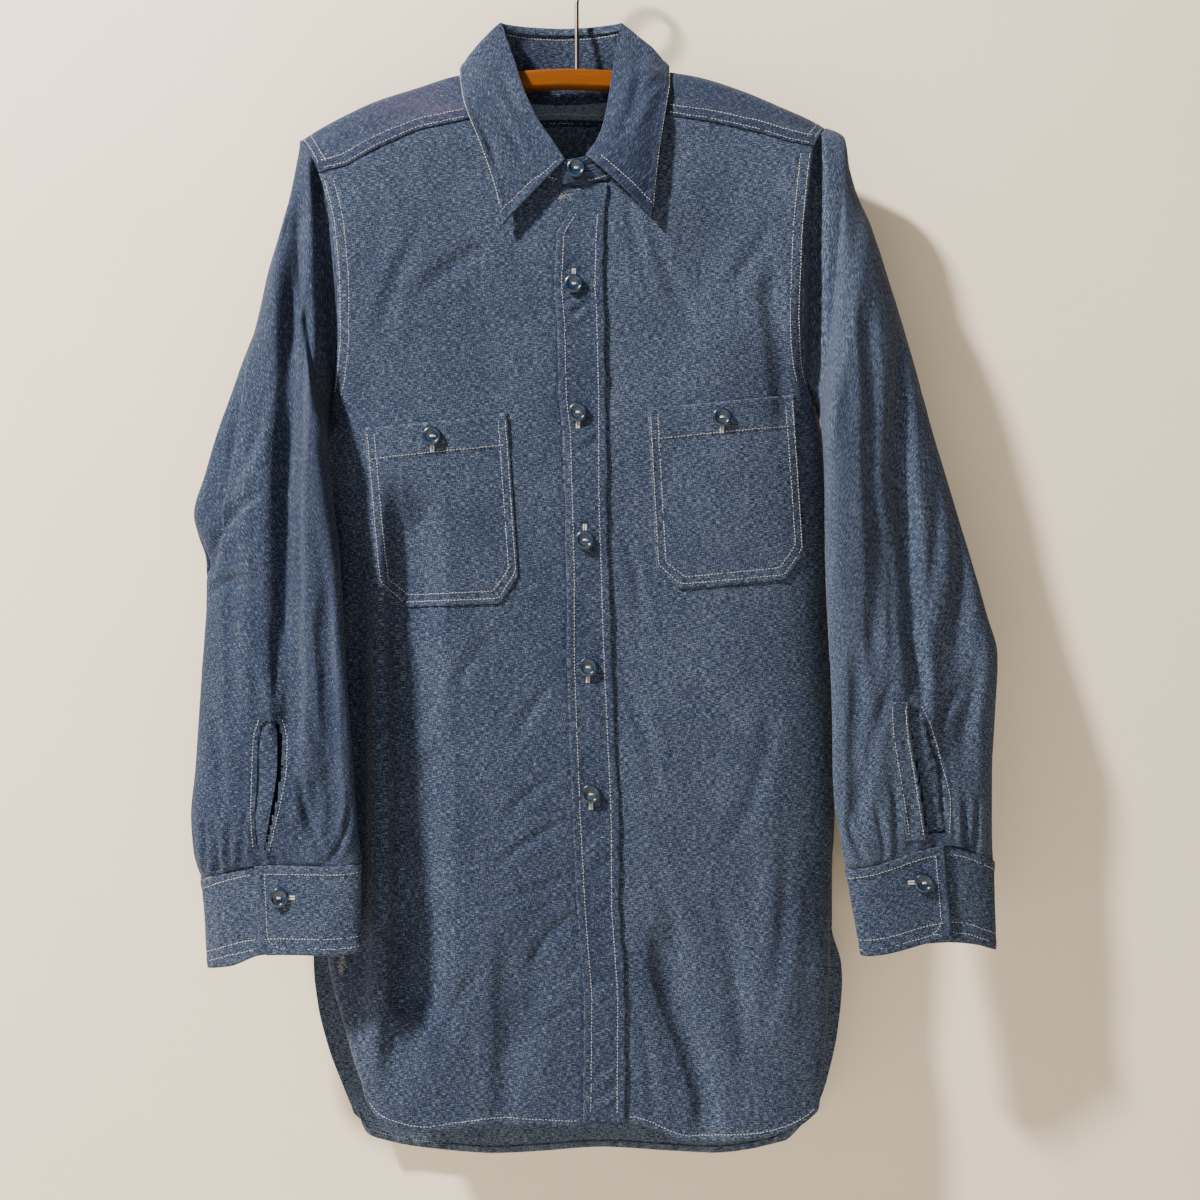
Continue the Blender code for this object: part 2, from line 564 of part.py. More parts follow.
def turned(name, profile, sides, place, finish):
    """A closed turned piece whose axis points to the front."""
    vertices = []
    rings = []
    for radius, height in profile:
        if radius == 0.0:
            rings.append([len(vertices)])
            vertices.append((place[0], place[1] - height, place[2]))
            continue
        ring = []
        for index in range(sides):
            angle = 2 * math.pi * index / sides
            ring.append(len(vertices))
            vertices.append((place[0] + radius * math.cos(angle), place[1] - height,
                             place[2] + radius * math.sin(angle)))
        rings.append(ring)
    faces = []
    for upper, lower in zip(rings, rings[1:]):
        for index in range(sides):
            nxt = (index + 1) % sides
            if len(upper) == 1:
                faces.append((upper[0], lower[nxt], lower[index]))
            elif len(lower) == 1:
                faces.append((upper[index], upper[nxt], lower[0]))
            else:
                faces.append((upper[index], upper[nxt], lower[nxt], lower[index]))
    mesh = bpy.data.meshes.new(name)
    mesh.from_pydata([(x * MM, y * MM, -down * MM) for x, y, down in vertices], [], faces)
    mesh.shade_smooth()
    mesh.set_sharp_from_angle(angle=math.radians(40))
    return add_object(name, mesh, finish)


def tube(name, path, radius, sides, finish):
    """A bent round wire with flat ends."""
    curve = bpy.data.curves.new(name, "CURVE")
    curve.dimensions = "3D"
    curve.bevel_depth = radius * MM
    curve.bevel_resolution = sides // 2 - 2
    curve.use_fill_caps = True
    spline = curve.splines.new("POLY")
    spline.points.add(len(path) - 1)
    for point, (x, y, down) in zip(spline.points, path):
        point.co = (x * MM, y * MM, -down * MM, 1.0)
    item = bpy.data.objects.new(name, curve)
    bpy.context.scene.collection.objects.link(item)
    curve.materials.append(finish)
    return item


# ---------------------------------------------------------------- the cut pieces

def make_front(name, side):
    shares = np.concatenate([neckline(side)[0], YOKE_SEAM[side]["share"], FRONT_SHARES])
    shares = np.unique(shares)
    top = front_top(side, shares)
    hem = read(FRONT_HEM[side], "share", "down", shares)
    parts = np.concatenate([np.linspace(0, UNDERARM_PART, 9), np.linspace(0.32, 1, 10)])
    down = top[None, :] + parts[:, None] * (hem - top)[None, :]
    grid = body_at_down(side * shares[None, :], down, FRONT)
    middle = read(MIDDLE, "down", "x", down[:, 0])
    grid[:, 0, 0] = middle + FRONT_SPLIT + side * 0.5 * SEAM_GAP
    return cloth_piece(name, grid, (0, -1, 0), CLOTH, CHAMBRAY)


def make_back():
    shares = np.array(BACK_SHARES)
    shares = np.concatenate([-shares[:0:-1], shares])
    seam_root = np.sqrt(YOKE_BACK_DROP - YOKE_BACK_RISE * shares ** 2)
    top = body_at_root(shares, seam_root)[..., 2] + SEAM_GAP
    hem = read(BACK_HEM, "share", "down", shares)
    parts = np.concatenate([BACK_TOP_PARTS, np.linspace(0.11, UNDERARM_PART, 6), np.linspace(0.34, 1, 9)])
    down = top[None, :] + parts[:, None] * (hem - top)[None, :]
    grid = body_at_down(shares[None, :], down, BACK)
    return cloth_piece("back", grid, (0, 1, 0), CLOTH, CHAMBRAY)


def make_yoke():
    """Lines run from the front seams and the neck seam over the ridge to the seam on the back."""
    inner_shares = {}
    inner_roots = {}
    for side in (RIGHT, LEFT):
        shares = np.linspace(1.0, YOKE_SEAM[side]["share"][0], YOKE_SHOULDER_STEPS + 1)
        down = front_top(side, shares) - SEAM_GAP
        inner_shares[side] = side * shares
        inner_roots[side] = root_of(side * shares, down)
    seam = neck_seam()
    neck = seam["root"] > NECK_CORNER_ROOT
    shares = np.concatenate([inner_shares[RIGHT], seam["share"][neck], inner_shares[LEFT][::-1]])
    roots = np.concatenate([inner_roots[RIGHT], seam["root"][neck], inner_roots[LEFT][::-1]])
    last = len(shares) - 1
    outer = np.interp(np.arange(last + 1), (0, YOKE_SHOULDER_STEPS, last - YOKE_SHOULDER_STEPS, last),
                      (-1.0,) + YOKE_NECK_SPREAD + (1.0,))
    outer_roots = np.sqrt(YOKE_BACK_DROP - YOKE_BACK_RISE * outer ** 2)
    parts = np.array(YOKE_LINES)[:, None]
    share = shares + parts * (outer - shares)
    root = roots + parts * (outer_roots - roots)
    return cloth_piece("yoke", body_at_root(share, root), (0, 0, -1), CLOTH, FADED_CHAMBRAY)


def leaf_lines():
    """The collar's fold, outer edge and bow; its rows follow those of the neck from the second on."""
    rows = np.arange(len(LEAF["bow"]), dtype=float)
    stations = neck_stations() - 1
    stations = stations[(stations >= 0) & (stations <= rows[-1])]
    fold = np.stack([LEAF["fold_x"], LEAF["fold_y"], LEAF["fold_down"]], axis=-1)
    edge = np.stack([LEAF["edge_x"], LEAF["edge_y"], LEAF["edge_down"]], axis=-1)
    return between(rows, fold, stations), between(rows, edge, stations), between(rows, LEAF["bow"], stations)


def moved_inside(line, across, distance):
    """The line moved off the strip that hangs from it, with mitred corners."""
    sides = np.cross(np.diff(line, axis=0), across[1:] + across[:-1])
    sides /= np.linalg.norm(sides, axis=-1, keepdims=True)
    sides = np.concatenate([sides[:1], sides, sides[-1:]])
    middle = sides[1:] + sides[:-1]
    middle /= np.linalg.norm(middle, axis=-1, keepdims=True)
    return line + distance * middle / np.sum(middle * sides[1:], axis=-1, keepdims=True)


def make_stand():
    seam = neck_seam()
    foot = body_at_root(seam["share"], seam["root"])
    foot[:, 1] -= seam["lift"]
    fold, edge, _ = leaf_lines()
    under = moved_inside(fold, edge - fold, COLLAR_PLY + FOLD_GAP)
    first, last = np.array(STAND_ENDS)
    top = np.concatenate([[first], [0.5 * (first + under[0])], under, [0.5 * (last + under[-1])], [last]])
    rise = (top - foot) / np.linalg.norm(top - foot, axis=-1, keepdims=True)
    foot = foot + STAND_FOOT_GAP * rise
    top = top - STAND_TOP_GAP * rise
    parts = np.linspace(0, 1, 4)[:, None, None]
    grid = foot + parts * (top - foot)
    away = grid - np.array([NECK_AXIS[0], NECK_AXIS[1], 0.0])
    away[..., 2] = 0.0
    return cloth_piece("collar_stand", grid, away, CLOTH, CHAMBRAY)


def make_leaf():
    fold, edge, bow = leaf_lines()
    parts = np.linspace(0, 1, 5)[:, None]
    grid = fold + parts[..., None] * (edge - fold)
    away = grid - np.array([NECK_AXIS[0], NECK_AXIS[1], 0.0])
    away[..., 2] = 0.0
    away /= np.linalg.norm(away, axis=-1, keepdims=True)
    grid = grid + (bow * np.sin(np.pi * parts))[..., None] * away
    return cloth_piece("collar_leaf", grid, away, COLLAR_PLY, FADED_CHAMBRAY)


def make_placket():
    down = np.concatenate([PLACKET["down"][:-1], [250.0, 350.0, 430.0, 550.0, 635.0, 740.0, 806.0, 872.0]])
    down = np.unique(np.concatenate([down, [PLACKET_END]]))
    free = np.interp(down, PLACKET["down"], PLACKET["free"])
    sewn = np.interp(down, PLACKET["down"], PLACKET["sewn"])
    parts = np.linspace(0, 1, 4)
    x = free[:, None] + parts[None, :] * (sewn - free)[:, None]
    grid = front_skin(x, np.repeat(down[:, None], len(parts), axis=1), LAY_GAP + CLOTH)
    return cloth_piece("front_placket", grid, (0, -1, 0), CLOTH, CHAMBRAY)


def make_pocket(name, side):
    top_left, top_right, low_left, low_right = (np.array(corner) for corner in POCKET_CORNERS[side])
    across = POCKET_REACH["across"][None, :, None]
    reach = POCKET_REACH["reach"][None, :, None]
    parts = np.linspace(0, 1, 7)[:, None, None] * reach
    top = top_left + across * (top_right - top_left)
    low = low_left + across * (low_right - low_left)
    place = top + parts * (low - top)
    grid = front_skin(place[..., 0], place[..., 1], LAY_GAP + CLOTH)
    return cloth_piece(name, grid, (0, -1, 0), CLOTH, CHAMBRAY)


def make_sleeve(name, side):
    around = np.linspace(0, 1, 19)[:-1]
    row = np.concatenate([(0, 0.2, 0.5), np.arange(1, len(SLEEVE[side]["out_x"]) + 1)])
    points = sleeve_surface(side, around, row)
    away = points - points.mean(axis=1, keepdims=True)
    return cloth_piece(name, points, away, CLOTH, CHAMBRAY, closed=True)


def make_cuff(name, side):
    around = np.linspace(CUFF_LAP, 1 + CUFF_LAP + CUFF_UNDERLAP, 27)
    tuck = np.clip((around - CUFF_TUCK_START) / CUFF_TUCK_LENGTH, 0.0, 1.0) * (CLOTH + LAY_GAP)
    upper_row = rows_of(SLEEVE[side])[-1]
    lower_row = rows_of(CUFF_END[side])[0]
    upper = np.array([section(upper_row, a, t) for a, t in zip(around, tuck)])
    lower = np.array([section(lower_row, a, t) for a, t in zip(around, tuck)])
    upper[:, 2] -= arch(around, CUFF_ARCH[side][0]) - CUFF_SEAM_GAP
    lower[:, 2] -= arch(around, CUFF_ARCH[side][1])
    lower[:, 2] -= CUFF_CORNER * np.exp(-((around - CUFF_LAP) / CUFF_CORNER_WIDTH) ** 2)
    parts = np.linspace(0, 1, 4)[:, None, None]
    grid = upper + parts * (lower - upper)
    away = grid - grid.mean(axis=1, keepdims=True)
    return cloth_piece(name, grid, away, CLOTH, FADED_CHAMBRAY)


def make_slit_strips(side, lap_name, under_name):
    table = SLIT[side]
    down = np.linspace(table["down"][0], table["down"][-1], 9)
    lap = read(table, "down", "lap", down)
    under = read(table, "down", "under", down)
    parts = np.linspace(0, 1, 3)[None, :]
    lap_x = lap[:, None] - side * parts * SLIT_LAP_WIDTH
    under_x = under[:, None] + parts * (lap - under)[:, None] * UNDERLAP_REACH
    heights = np.repeat(down[:, None], 3, axis=1)
    lap_grid = sleeve_patch(side, lap_x, heights, LAY_GAP + CLOTH)
    under_grid = sleeve_patch(side, under_x, heights, LAY_GAP + CLOTH)
    cloth_piece(lap_name, lap_grid, (0, -1, 0), CLOTH, CHAMBRAY)
    cloth_piece(under_name, under_grid, (0, -1, 0), CLOTH, CHAMBRAY)


def make_button(name, x, down, seat_y):
    finish = material(name + "_finish", NAVY, 0.25)
    profile = [(part * BUTTON_RADIUS, height) for part, height in BUTTON_PROFILE]
    return turned(name, profile, BUTTON_SIDES, (x, seat_y - BUTTON_GAP, down), finish)


def make_buttons():
    x, down = NECK_BUTTON
    make_button("button_front_1", x, down, NECK_BUTTON_SEAT)
    for index, (x, down) in enumerate(zip(FRONT_BUTTONS["x"], FRONT_BUTTONS["down"])):
        seat = front_skin(x, down, LAY_GAP + CLOTH)[1]
        make_button(f"button_front_{index + 2}", x, down, seat)
    for side, label in ((RIGHT, "right"), (LEFT, "left")):
        x, down = POCKET_BUTTONS[side]
        seat = front_skin(x, down, LAY_GAP + CLOTH)[1]
        make_button("button_pocket_" + label, x, down, seat)
        x, down = CUFF_BUTTONS[side]
        make_button("button_cuff_" + label, x, down, cuff_front_y(side, x, down))


def cuff_front_y(side, x, down):
    """How far forward the cuff's front reaches around a place."""
    around = np.linspace(0.02, 0.48, 80)
    upper = section(rows_of(SLEEVE[side])[-1], around)
    lower = section(rows_of(CUFF_END[side])[0], around)
    part = (down - upper[:, 2].mean()) / (lower[:, 2].mean() - upper[:, 2].mean())
    ring = upper + part * (lower - upper)
    near = np.abs(ring[:, 0] - x) < BUTTON_RADIUS
    return ring[near, 1].min()


def make_bar():
    x = np.linspace(-BAR_HALF_LENGTH, BAR_HALF_LENGTH, 27)
    top = read(RIDGE, "x", "down", x) + CLOTH + BAR_CLEARANCE
    sides = 12
    half_height = 0.5 * BAR_HEIGHT
    half_depth = 0.5 * BAR_THICKNESS
    vertices = []
    for px, ptop in zip(x, top):
        taper = 1.0 - BAR_END_TAPER * (abs(px) / BAR_HALF_LENGTH) ** 6
        for index in range(sides):
            angle = 2 * math.pi * index / sides
            rise = (1.0 - math.sin(angle)) * half_height * taper
            vertices.append((px, math.cos(angle) * half_depth * taper, ptop + rise))
    faces = []
    for row in range(len(x) - 1):
        for index in range(sides):
            nxt = (index + 1) % sides
            faces.append((row * sides + index, (row + 1) * sides + index,
                          (row + 1) * sides + nxt, row * sides + nxt))
    faces.append(tuple(range(sides)))
    faces.append(tuple(len(vertices) - 1 - index for index in range(sides)))
    mesh = bpy.data.meshes.new("hanger_bar")
    mesh.from_pydata([(px * MM, y * MM, -down * MM) for px, y, down in vertices], [], faces)
    mesh.shade_smooth()
    mesh.set_sharp_from_angle(angle=math.radians(50))
    bar = add_object("hanger_bar", mesh, material("bar_wood", VARNISHED_WOOD, 0.35))
    top_middle = float(read(RIDGE, "x", "down", 0.0)) + CLOTH + BAR_CLEARANCE
    bpy.ops.mesh.primitive_cylinder_add(vertices=12, radius=(WIRE_RADIUS + WIRE_FIT) * MM,
                                        depth=2 * (WIRE_SEAT_DEPTH + WIRE_FIT) * MM,
                                        location=(0, 0, -top_middle * MM))
    cutter = bpy.context.object
    cutter.name = "bar_hole"
    cutter.hide_render = True
    cutter.display_type = "WIRE"
    hole = bar.modifiers.new("hole", "BOOLEAN")
    hole.operation = "DIFFERENCE"
    hole.object = cutter
    return bar


def make_hook():
    """A straight shank, an easy bend to one side and a round hook over the origin."""
    radius = HOOK_INNER_RADIUS + WIRE_RADIUS
    centre_down = HOOK_INNER_RADIUS
    bar_top = float(read(RIDGE, "x", "down", 0.0)) + CLOTH + BAR_CLEARANCE
    path = [(0, 0, bar_top + WIRE_SEAT_DEPTH), (0, 0, bar_top - 4), (0, 0, SHANK_TOP + 20), (0, 0, SHANK_TOP)]
    start = HOOK_OPENING
    first = (radius * math.cos(start), centre_down + radius * math.sin(start))
    for part in np.linspace(0.12, 0.95, 7):
        ease = part * part * (3 - 2 * part)
        path.append((first[0] * ease, 0, SHANK_TOP + (first[1] - SHANK_TOP) * part))
    for angle in np.linspace(start, start - HOOK_SWEEP, 24):
        path.append((radius * math.cos(angle), 0, centre_down + radius * math.sin(angle)))
    return tube("hanger_hook", path, WIRE_RADIUS, 8, material("hook_metal", NICKEL, 0.35, 1.0))


def clear_scene():
    for item in list(bpy.data.objects):
        bpy.data.objects.remove(item, do_unlink=True)


clear_scene()
make_front("front_right", RIGHT)
make_front("front_left", LEFT)
make_back()
make_yoke()
make_stand()
make_leaf()
make_placket()
make_pocket("pocket_right", RIGHT)
make_pocket("pocket_left", LEFT)
make_sleeve("sleeve_right", RIGHT)
make_sleeve("sleeve_left", LEFT)
make_cuff("cuff_right", RIGHT)
make_cuff("cuff_left", LEFT)
make_slit_strips(RIGHT, "sleeve_placket_right", "sleeve_underlap_right")
make_slit_strips(LEFT, "sleeve_placket_left", "sleeve_underlap_left")
make_buttons()
make_bar()
make_hook()
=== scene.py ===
"""The look of a chambray work shirt on a wooden hanger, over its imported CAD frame.

Tables are in millimetres, and "down" is measured from the inner top of the hook. "share" runs from
0 at the placket's middle to 1 at the armhole or side seam, and is negative on the wearer's right.
"root" is the square root of the drop below the shoulder ridge, and is negative in front of it.
"""
import math

import bmesh
import bpy
import numpy as np
from mathutils import Matrix, Vector
from mathutils.bvhtree import BVHTree


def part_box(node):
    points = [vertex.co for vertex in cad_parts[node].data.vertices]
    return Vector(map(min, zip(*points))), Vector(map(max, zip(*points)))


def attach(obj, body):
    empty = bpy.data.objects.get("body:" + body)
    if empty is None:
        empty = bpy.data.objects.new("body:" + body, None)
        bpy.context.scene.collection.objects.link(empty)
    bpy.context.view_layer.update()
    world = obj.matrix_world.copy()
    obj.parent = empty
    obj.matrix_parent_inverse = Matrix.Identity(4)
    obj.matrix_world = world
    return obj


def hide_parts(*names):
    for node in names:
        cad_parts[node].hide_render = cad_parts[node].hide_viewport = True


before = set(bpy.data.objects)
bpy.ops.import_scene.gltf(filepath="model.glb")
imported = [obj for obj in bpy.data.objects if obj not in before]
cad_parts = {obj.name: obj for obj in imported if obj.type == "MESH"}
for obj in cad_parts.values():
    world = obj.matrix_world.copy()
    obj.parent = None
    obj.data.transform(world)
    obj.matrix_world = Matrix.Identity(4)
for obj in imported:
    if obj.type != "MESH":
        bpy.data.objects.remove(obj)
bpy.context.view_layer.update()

MM = 0.001

# walls and gaps of the pieces, in millimetres
CLOTH = 1.2
COLLAR_PLY = 1.5
SIDE_SEAM_GAP = 0.75
ARMHOLE_GAP = 1.2
FOLD_GAP = 0.4

RIGHT = -1
LEFT = 1
FRONT = -1
BACK = 1
SIDE_NAMES = {RIGHT: "right", LEFT: "left"}

BODY_SQUARENESS = 5.0
SLEEVE_SQUARENESS = 3.2
UNDERARM = {RIGHT: 389.0, LEFT: 380.0}
ARMHOLE_BUNCHING = 1.4
HEM_WIDTH = 6.5
YOKE_BACK_DROP = 41.0
YOKE_BACK_RISE = 16.0
YOKE_NECK_SPREAD = (-0.56, 0.54)

# the hanger
BAR_HALF_LENGTH = 187.0
BAR_HEIGHT = 14.3
BAR_THICKNESS = 12.0
BAR_CLEARANCE = 2.2

# stitches and buttons
STITCH_PITCH = 2.5
STITCH_LENGTH = 1.8
THREAD_RADIUS = 0.21
SKIPPED_STITCHES = 0.02
STITCH_STRAY = 0.12
BUTTON_RADIUS = 7.2
BUTTON_LEAN = 4.0

# how far rows of stitches run from the edges and seams
PLACKET_FREE_ROW = 5.8
PLACKET_SEWN_ROW = 5.4
FRONT_HEM_ROW = 4.6
BACK_HEM_ROW = 4.8
ARMHOLE_ROWS = (2.4, 9.4)
YOKE_FRONT_ROWS = (1.8, 8.6)
YOKE_BACK_ROWS = (2.0, 9.0)
COLLAR_ROW = 5.0
POCKET_ROWS = (1.7, 7.2)
POCKET_HEM_ROW = 24.5
CUFF_ROWS = (0.10, 0.82, 0.93)

# in metres: how far a stitch looks for its cloth, and where lines of sight to the shirt start
STITCH_SEARCH = 0.012
RAY_START = 0.3
OUTSIDE = 0.04


def columns(names, rows):
    """A table with named columns."""
    values = np.array(rows, dtype=float)
    return {name: values[:, index] for index, name in enumerate(names.split())}


# shoulder ridge, which runs on over the neck as the line that the hanger's bar follows
RIDGE = columns("x down", (
    (-222, 171.5), (-204, 160.2), (-181.5, 148.3), (-159, 138.0), (-125, 126.9), (-92, 117.4),
    (-50, 112.0), (-9, 109.7), (32, 111.2), (73, 115.0), (97, 119.0), (130, 129.3),
    (164, 143.6), (190, 155.5), (200, 162.0)))

# middle line of the placket
MIDDLE = columns("down x", (
    (150, 1), (215, 2), (290, 3), (380, 5), (450, 7), (520, 9), (580, 10), (700, 15),
    (775, 17.5), (840, 22), (940, 21)))

# armhole, side seam and, below the vent, the free side edges of the front and back
SIDE_EDGE = {
    RIGHT: columns("down front back", (
        (168, -219.5, -219.5), (202, -200, -201), (246, -189, -190), (302, -185, -187),
        (326, -185, -187), (353, -188, -189), (389, -196, -196), (407, -200, -200),
        (454, -202.5, -202.5), (520, -205, -205), (613, -207, -207), (693, -208, -208),
        (760, -206, -209), (794, -201, -210), (829, -192.5, -210.5), (859, -184, -208),
        (893, -174, -200.5), (927, -163, -188), (952, -160, -178))),
    LEFT: columns("down front back", (
        (159, 198, 198), (180, 185.5, 188), (203, 182, 184), (256, 177, 179), (317, 175, 177),
        (336, 176, 177.5), (355, 178.6, 179.5), (380, 187, 187), (396, 190.5, 190.5),
        (416, 194, 194), (453, 196.6, 196.6), (520, 199, 199), (582, 202, 202),
        (682, 204.5, 204.5), (737, 203, 203), (793, 201, 203), (825, 198.6, 211.5),
        (842, 197, 212.6), (878, 194.5, 210), (922, 189, 201), (945, 186, 193)))}

# distance of the front and back from the ridge's plane, by the root of the drop below the ridge
DEPTH = columns("root front back", (
    (0, 0, 0), (1.4, 5.5, 5), (2.4, 9.5, 9), (3.5, 13, 13), (4.5, 17, 16), (5.9, 22, 19),
    (7.7, 26, 22), (10, 30, 24), (12.6, 33, 25.5), (15.8, 35, 26), (28, 37, 28)))

# part of that distance which is left at the side edges
EDGE_SHARE = columns("down front back", (
    (170, 1, 1), (210, 1, 1), (250, 0.92, 0.9), (320, 0.78, 0.75), (350, 0.52, 0.5),
    (372, 0.2, 0.2), (388, 0, 0), (780, 0, 0), (829, 0.4, 0.25), (860, 0.5, 0.4),
    (893, 0.55, 0.5), (930, 0.62, 0.55), (960, 0.65, 0.6)))

# seam between each front and the yoke, from the neck to the armhole
YOKE_SEAM = {
    RIGHT: columns("share down", ((0.385, 160.5), (0.56, 168.3), (0.745, 183.5), (0.88, 196.4), (1, 202))),
    LEFT: columns("share down", ((0.348, 157), (0.51, 161.3), (0.73, 169.5), (0.885, 177), (1, 180.3)))}

# lower edges
FRONT_HEM = {
    RIGHT: columns("share down", (
        (0, 938.5), (0.08, 939), (0.45, 936.7), (0.61, 940), (0.765, 944), (0.884, 940.5),
        (0.96, 934), (1, 922))),
    LEFT: columns("share down", (
        (0, 938.5), (0.12, 935.6), (0.41, 950.6), (0.707, 948.6), (0.918, 939.3), (1, 929)))}
BACK_HEM = columns("share down", (
    (-1, 948), (-0.96, 966), (-0.9, 972), (-0.78, 978), (-0.437, 984.7), (0.03, 980),
    (0.35, 982.6), (0.536, 984.7), (0.853, 974), (0.936, 960), (1, 943)))

# neck seam from the under end of the stand round the back to its upper end
NECK = columns("share root lift", (
    (0.065, -10.2, 1.6), (-0.03, -10.18, 1.4), (-0.1, -10.05, 1.1), (-0.19, -9.7, 0.8), (-0.3, -9.0, 0.4),
    (-0.365, -7.6, 0.2), (-0.388, -5.6, 0), (-0.385, 0, 0), (-0.335, 2.8, 0), (-0.2, 4.2, 0),
    (-0.06, 4.5, 0),
    (0.09, 4.3, 0), (0.24, 3.1, 0), (0.325, 0, 0), (0.352, -3.6, 0), (0.352, -5.9, 0), (0.325, -7.7, 0.3),
    (0.27, -8.8, 0.7), (0.2, -9.5, 1.4), (0.11, -9.95, 2.6), (0.03, -10.15, 3.6), (-0.065, -10.2, 3.8)))
NECK_CORNER_ROOT = -6.4
NECK_RIDGE_STATIONS = (6.75, 13.25)
STAND_ENDS = ((12.0, -33.6, 196.0), (-10.5, -35.6, 195.5))

# collar leaf from the right point round the back to the left point: its fold and its outer edge
LEAF = columns("fold_x fold_y fold_down edge_x edge_y edge_down bow", (
    (-8.3, -37.5, 195.4, -56.2, -39.5, 246, 0.5), (-18, -34.5, 180, -60.5, -38.5, 222, 1.0),
    (-28, -30, 165, -66, -37, 204, 1.8), (-43, -20.5, 132, -76, -34, 176, 3.0),
    (-50, -11.5, 108.6, -84.4, -29, 155, 4.0), (-56, -5, 90, -89.5, -18, 134, 4.5),
    (-61, 0, 75.3, -92.3, -3, 113.5, 3.0), (-50, 6, 75.4, -80, 16, 117, 3.0),
    (-32, 10, 75.6, -50, 23, 125, 3.0), (-13, 12, 75.8, -13, 26, 129, 3.0),
    (6, 10.5, 75.6, 28, 23, 124.5, 3.0), (24, 6, 75.4, 60, 16, 115.5, 3.0),
    (36, 0, 75.3, 73.1, -3, 111.0, 3.0), (32.5, -6, 97, 73, -15, 127, 4.5),
    (29.5, -12.5, 117, 71, -24.5, 143, 4.0), (26.3, -20.5, 141, 67.5, -32, 165, 3.0),
    (23.5, -26.5, 158, 64.5, -35.5, 184, 2.4), (20, -31, 172, 62, -38, 205, 1.8),
    (14, -35, 184, 60, -39, 224, 1.0), (7.8, -37.5, 192, 58.9, -40, 241.3, 0.5)))
NECK_AXIS = (-10.0, -8.0)

# sleeve sections from the shoulder to the cuff: outer and inner edge, and half depths
SLEEVE = {
    RIGHT: columns("out_x out_y out_down in_x in_y in_down front back", (
        (-225, -3, 205, -197, -17, 399, 24, 18), (-232, -6, 235, -192.5, -32, 417, 23, 15),
        (-243, -9, 275, -188, -39, 441, 22, 12), (-253, -11, 321, -184, -44, 470, 20, 11),
        (-267, -13, 359, -180, -48, 497, 18, 11), (-282, -13, 400, -177.5, -52, 521, 17, 11),
        (-294, -11, 437, -175.5, -54, 544, 16, 11), (-303, -8, 467, -174.5, -56, 562, 15, 11),
        (-291, -14, 505, -172.5, -57, 585, 14, 11), (-290, -18, 540, -171, -58, 606, 13, 11),
        (-292, -21, 581, -169, -58, 630, 13, 11), (-294, -23, 625, -166.5, -58, 657, 13, 11),
        (-296, -25, 665, -165, -58, 681, 13, 12), (-299, -26, 700, -164, -58, 702, 14, 12),
        (-297, -27, 728, -162.5, -58, 720, 13, 12), (-291, -28, 751, -161.6, -58, 732, 11, 10))),
    LEFT: columns("out_x out_y out_down in_x in_y in_down front back", (
        (211, -2, 168, 190.5, -7, 387, 24, 20), (214.5, -4, 192, 191, -18, 396, 24, 18),
        (221, -6, 215, 190, -30, 412, 23, 16), (232, -9, 240, 190.5, -35, 432, 23, 14),
        (248, -11, 288, 191, -37, 460, 21, 13),
        (264, -12, 344, 191, -38, 494, 19, 13), (279, -13, 400, 191.6, -39, 528, 17, 13),
        (294.5, -13, 450, 193, -39, 558, 16, 13), (310, -14, 502, 195, -39, 590, 15, 13),
        (321, -15, 542, 196, -39, 614, 15, 13), (330, -16, 579, 196.8, -39, 637, 14, 13),
        (327.5, -18, 625, 197.5, -39, 664, 13, 12), (325.5, -19, 665, 198.5, -39, 688, 13, 12),
        (325, -20, 702, 202, -39, 714, 13, 12), (326, -20, 738, 206.6, -39, 740, 11, 10)))}

# lower section of each cuff, and how far its front arches up at the top and bottom
CUFF_END = {
    RIGHT: columns("out_x out_y out_down in_x in_y in_down front back", (
        (-285, -29, 818, -161, -58, 798.5, 12, 11),)),
    LEFT: columns("out_x out_y out_down in_x in_y in_down front back", (
        (327, -21, 806.5, 218.5, -39, 806, 12, 11),))}
CUFF_ARCH = {RIGHT: (8.0, 7.0), LEFT: (16.0, 12.0)}
CUFF_LAP = 0.198
CUFF_UNDERLAP = 0.1
CUFF_TUCK_START = 1.04
CUFF_TUCK_LENGTH = 0.115
ARCH_WIDTH = 0.3
ARCH_BACK_SHARE = 0.35

# folds: a valley is pushed in and a ridge, with a negative depth, stands out
FOLD_END_SHARE = 0.35
FOLD_FADE = 0.25
FOLD_TAIL = 2.5
FOLD_FULL_REACH = 12.0
SLEEVE_EDGE_FADE = 0.12
ARMHOLE_FADE = 0.04
CUFF_FADE = 0.03
FRONT_FOLDS = columns("x down to_x to_down width depth", (
    (-162, 410, -166, 900, 15, 5.5), (-29, 797, -48, 903, 14, 4), (68, 808, 99, 916, 17, 5),
    (150, 700, 158, 900, 16, -3), (-120, 620, -128, 900, 22, -3), (-100, 250, -60, 360, 26, 2.5),
    (110, 230, 70, 340, 26, 2.5)))
BACK_FOLDS = columns("x down to_x to_down width depth", (
    (-95, 210, -120, 930, 20, 6), (70, 200, 96, 930, 22, 6), (-10, 420, 14, 960, 24, -4),
    (150, 420, 158, 900, 16, 5), (-165, 430, -172, 900, 16, 5)))
SLEEVE_FOLDS = {
    RIGHT: columns("x down to_x to_down width depth", (
        (-191, 216, -190, 300, 6, 9), (-190, 300, -193, 372, 6, 9), (-214, 210, -222, 349, 8, 8),
        (-223, 349, -226, 585, 9, 9), (-190, 660, -205, 720, 9, 4), (-262, 420, -252, 640, 12, -3))),
    LEFT: columns("x down to_x to_down width depth", (
        (187, 205, 184, 270, 6, 10), (184, 270, 183, 340, 6, 10), (244, 404, 256, 580, 11, 5),
        (220, 300, 224, 520, 13, -4), (292, 520, 286, 690, 12, 4)))}
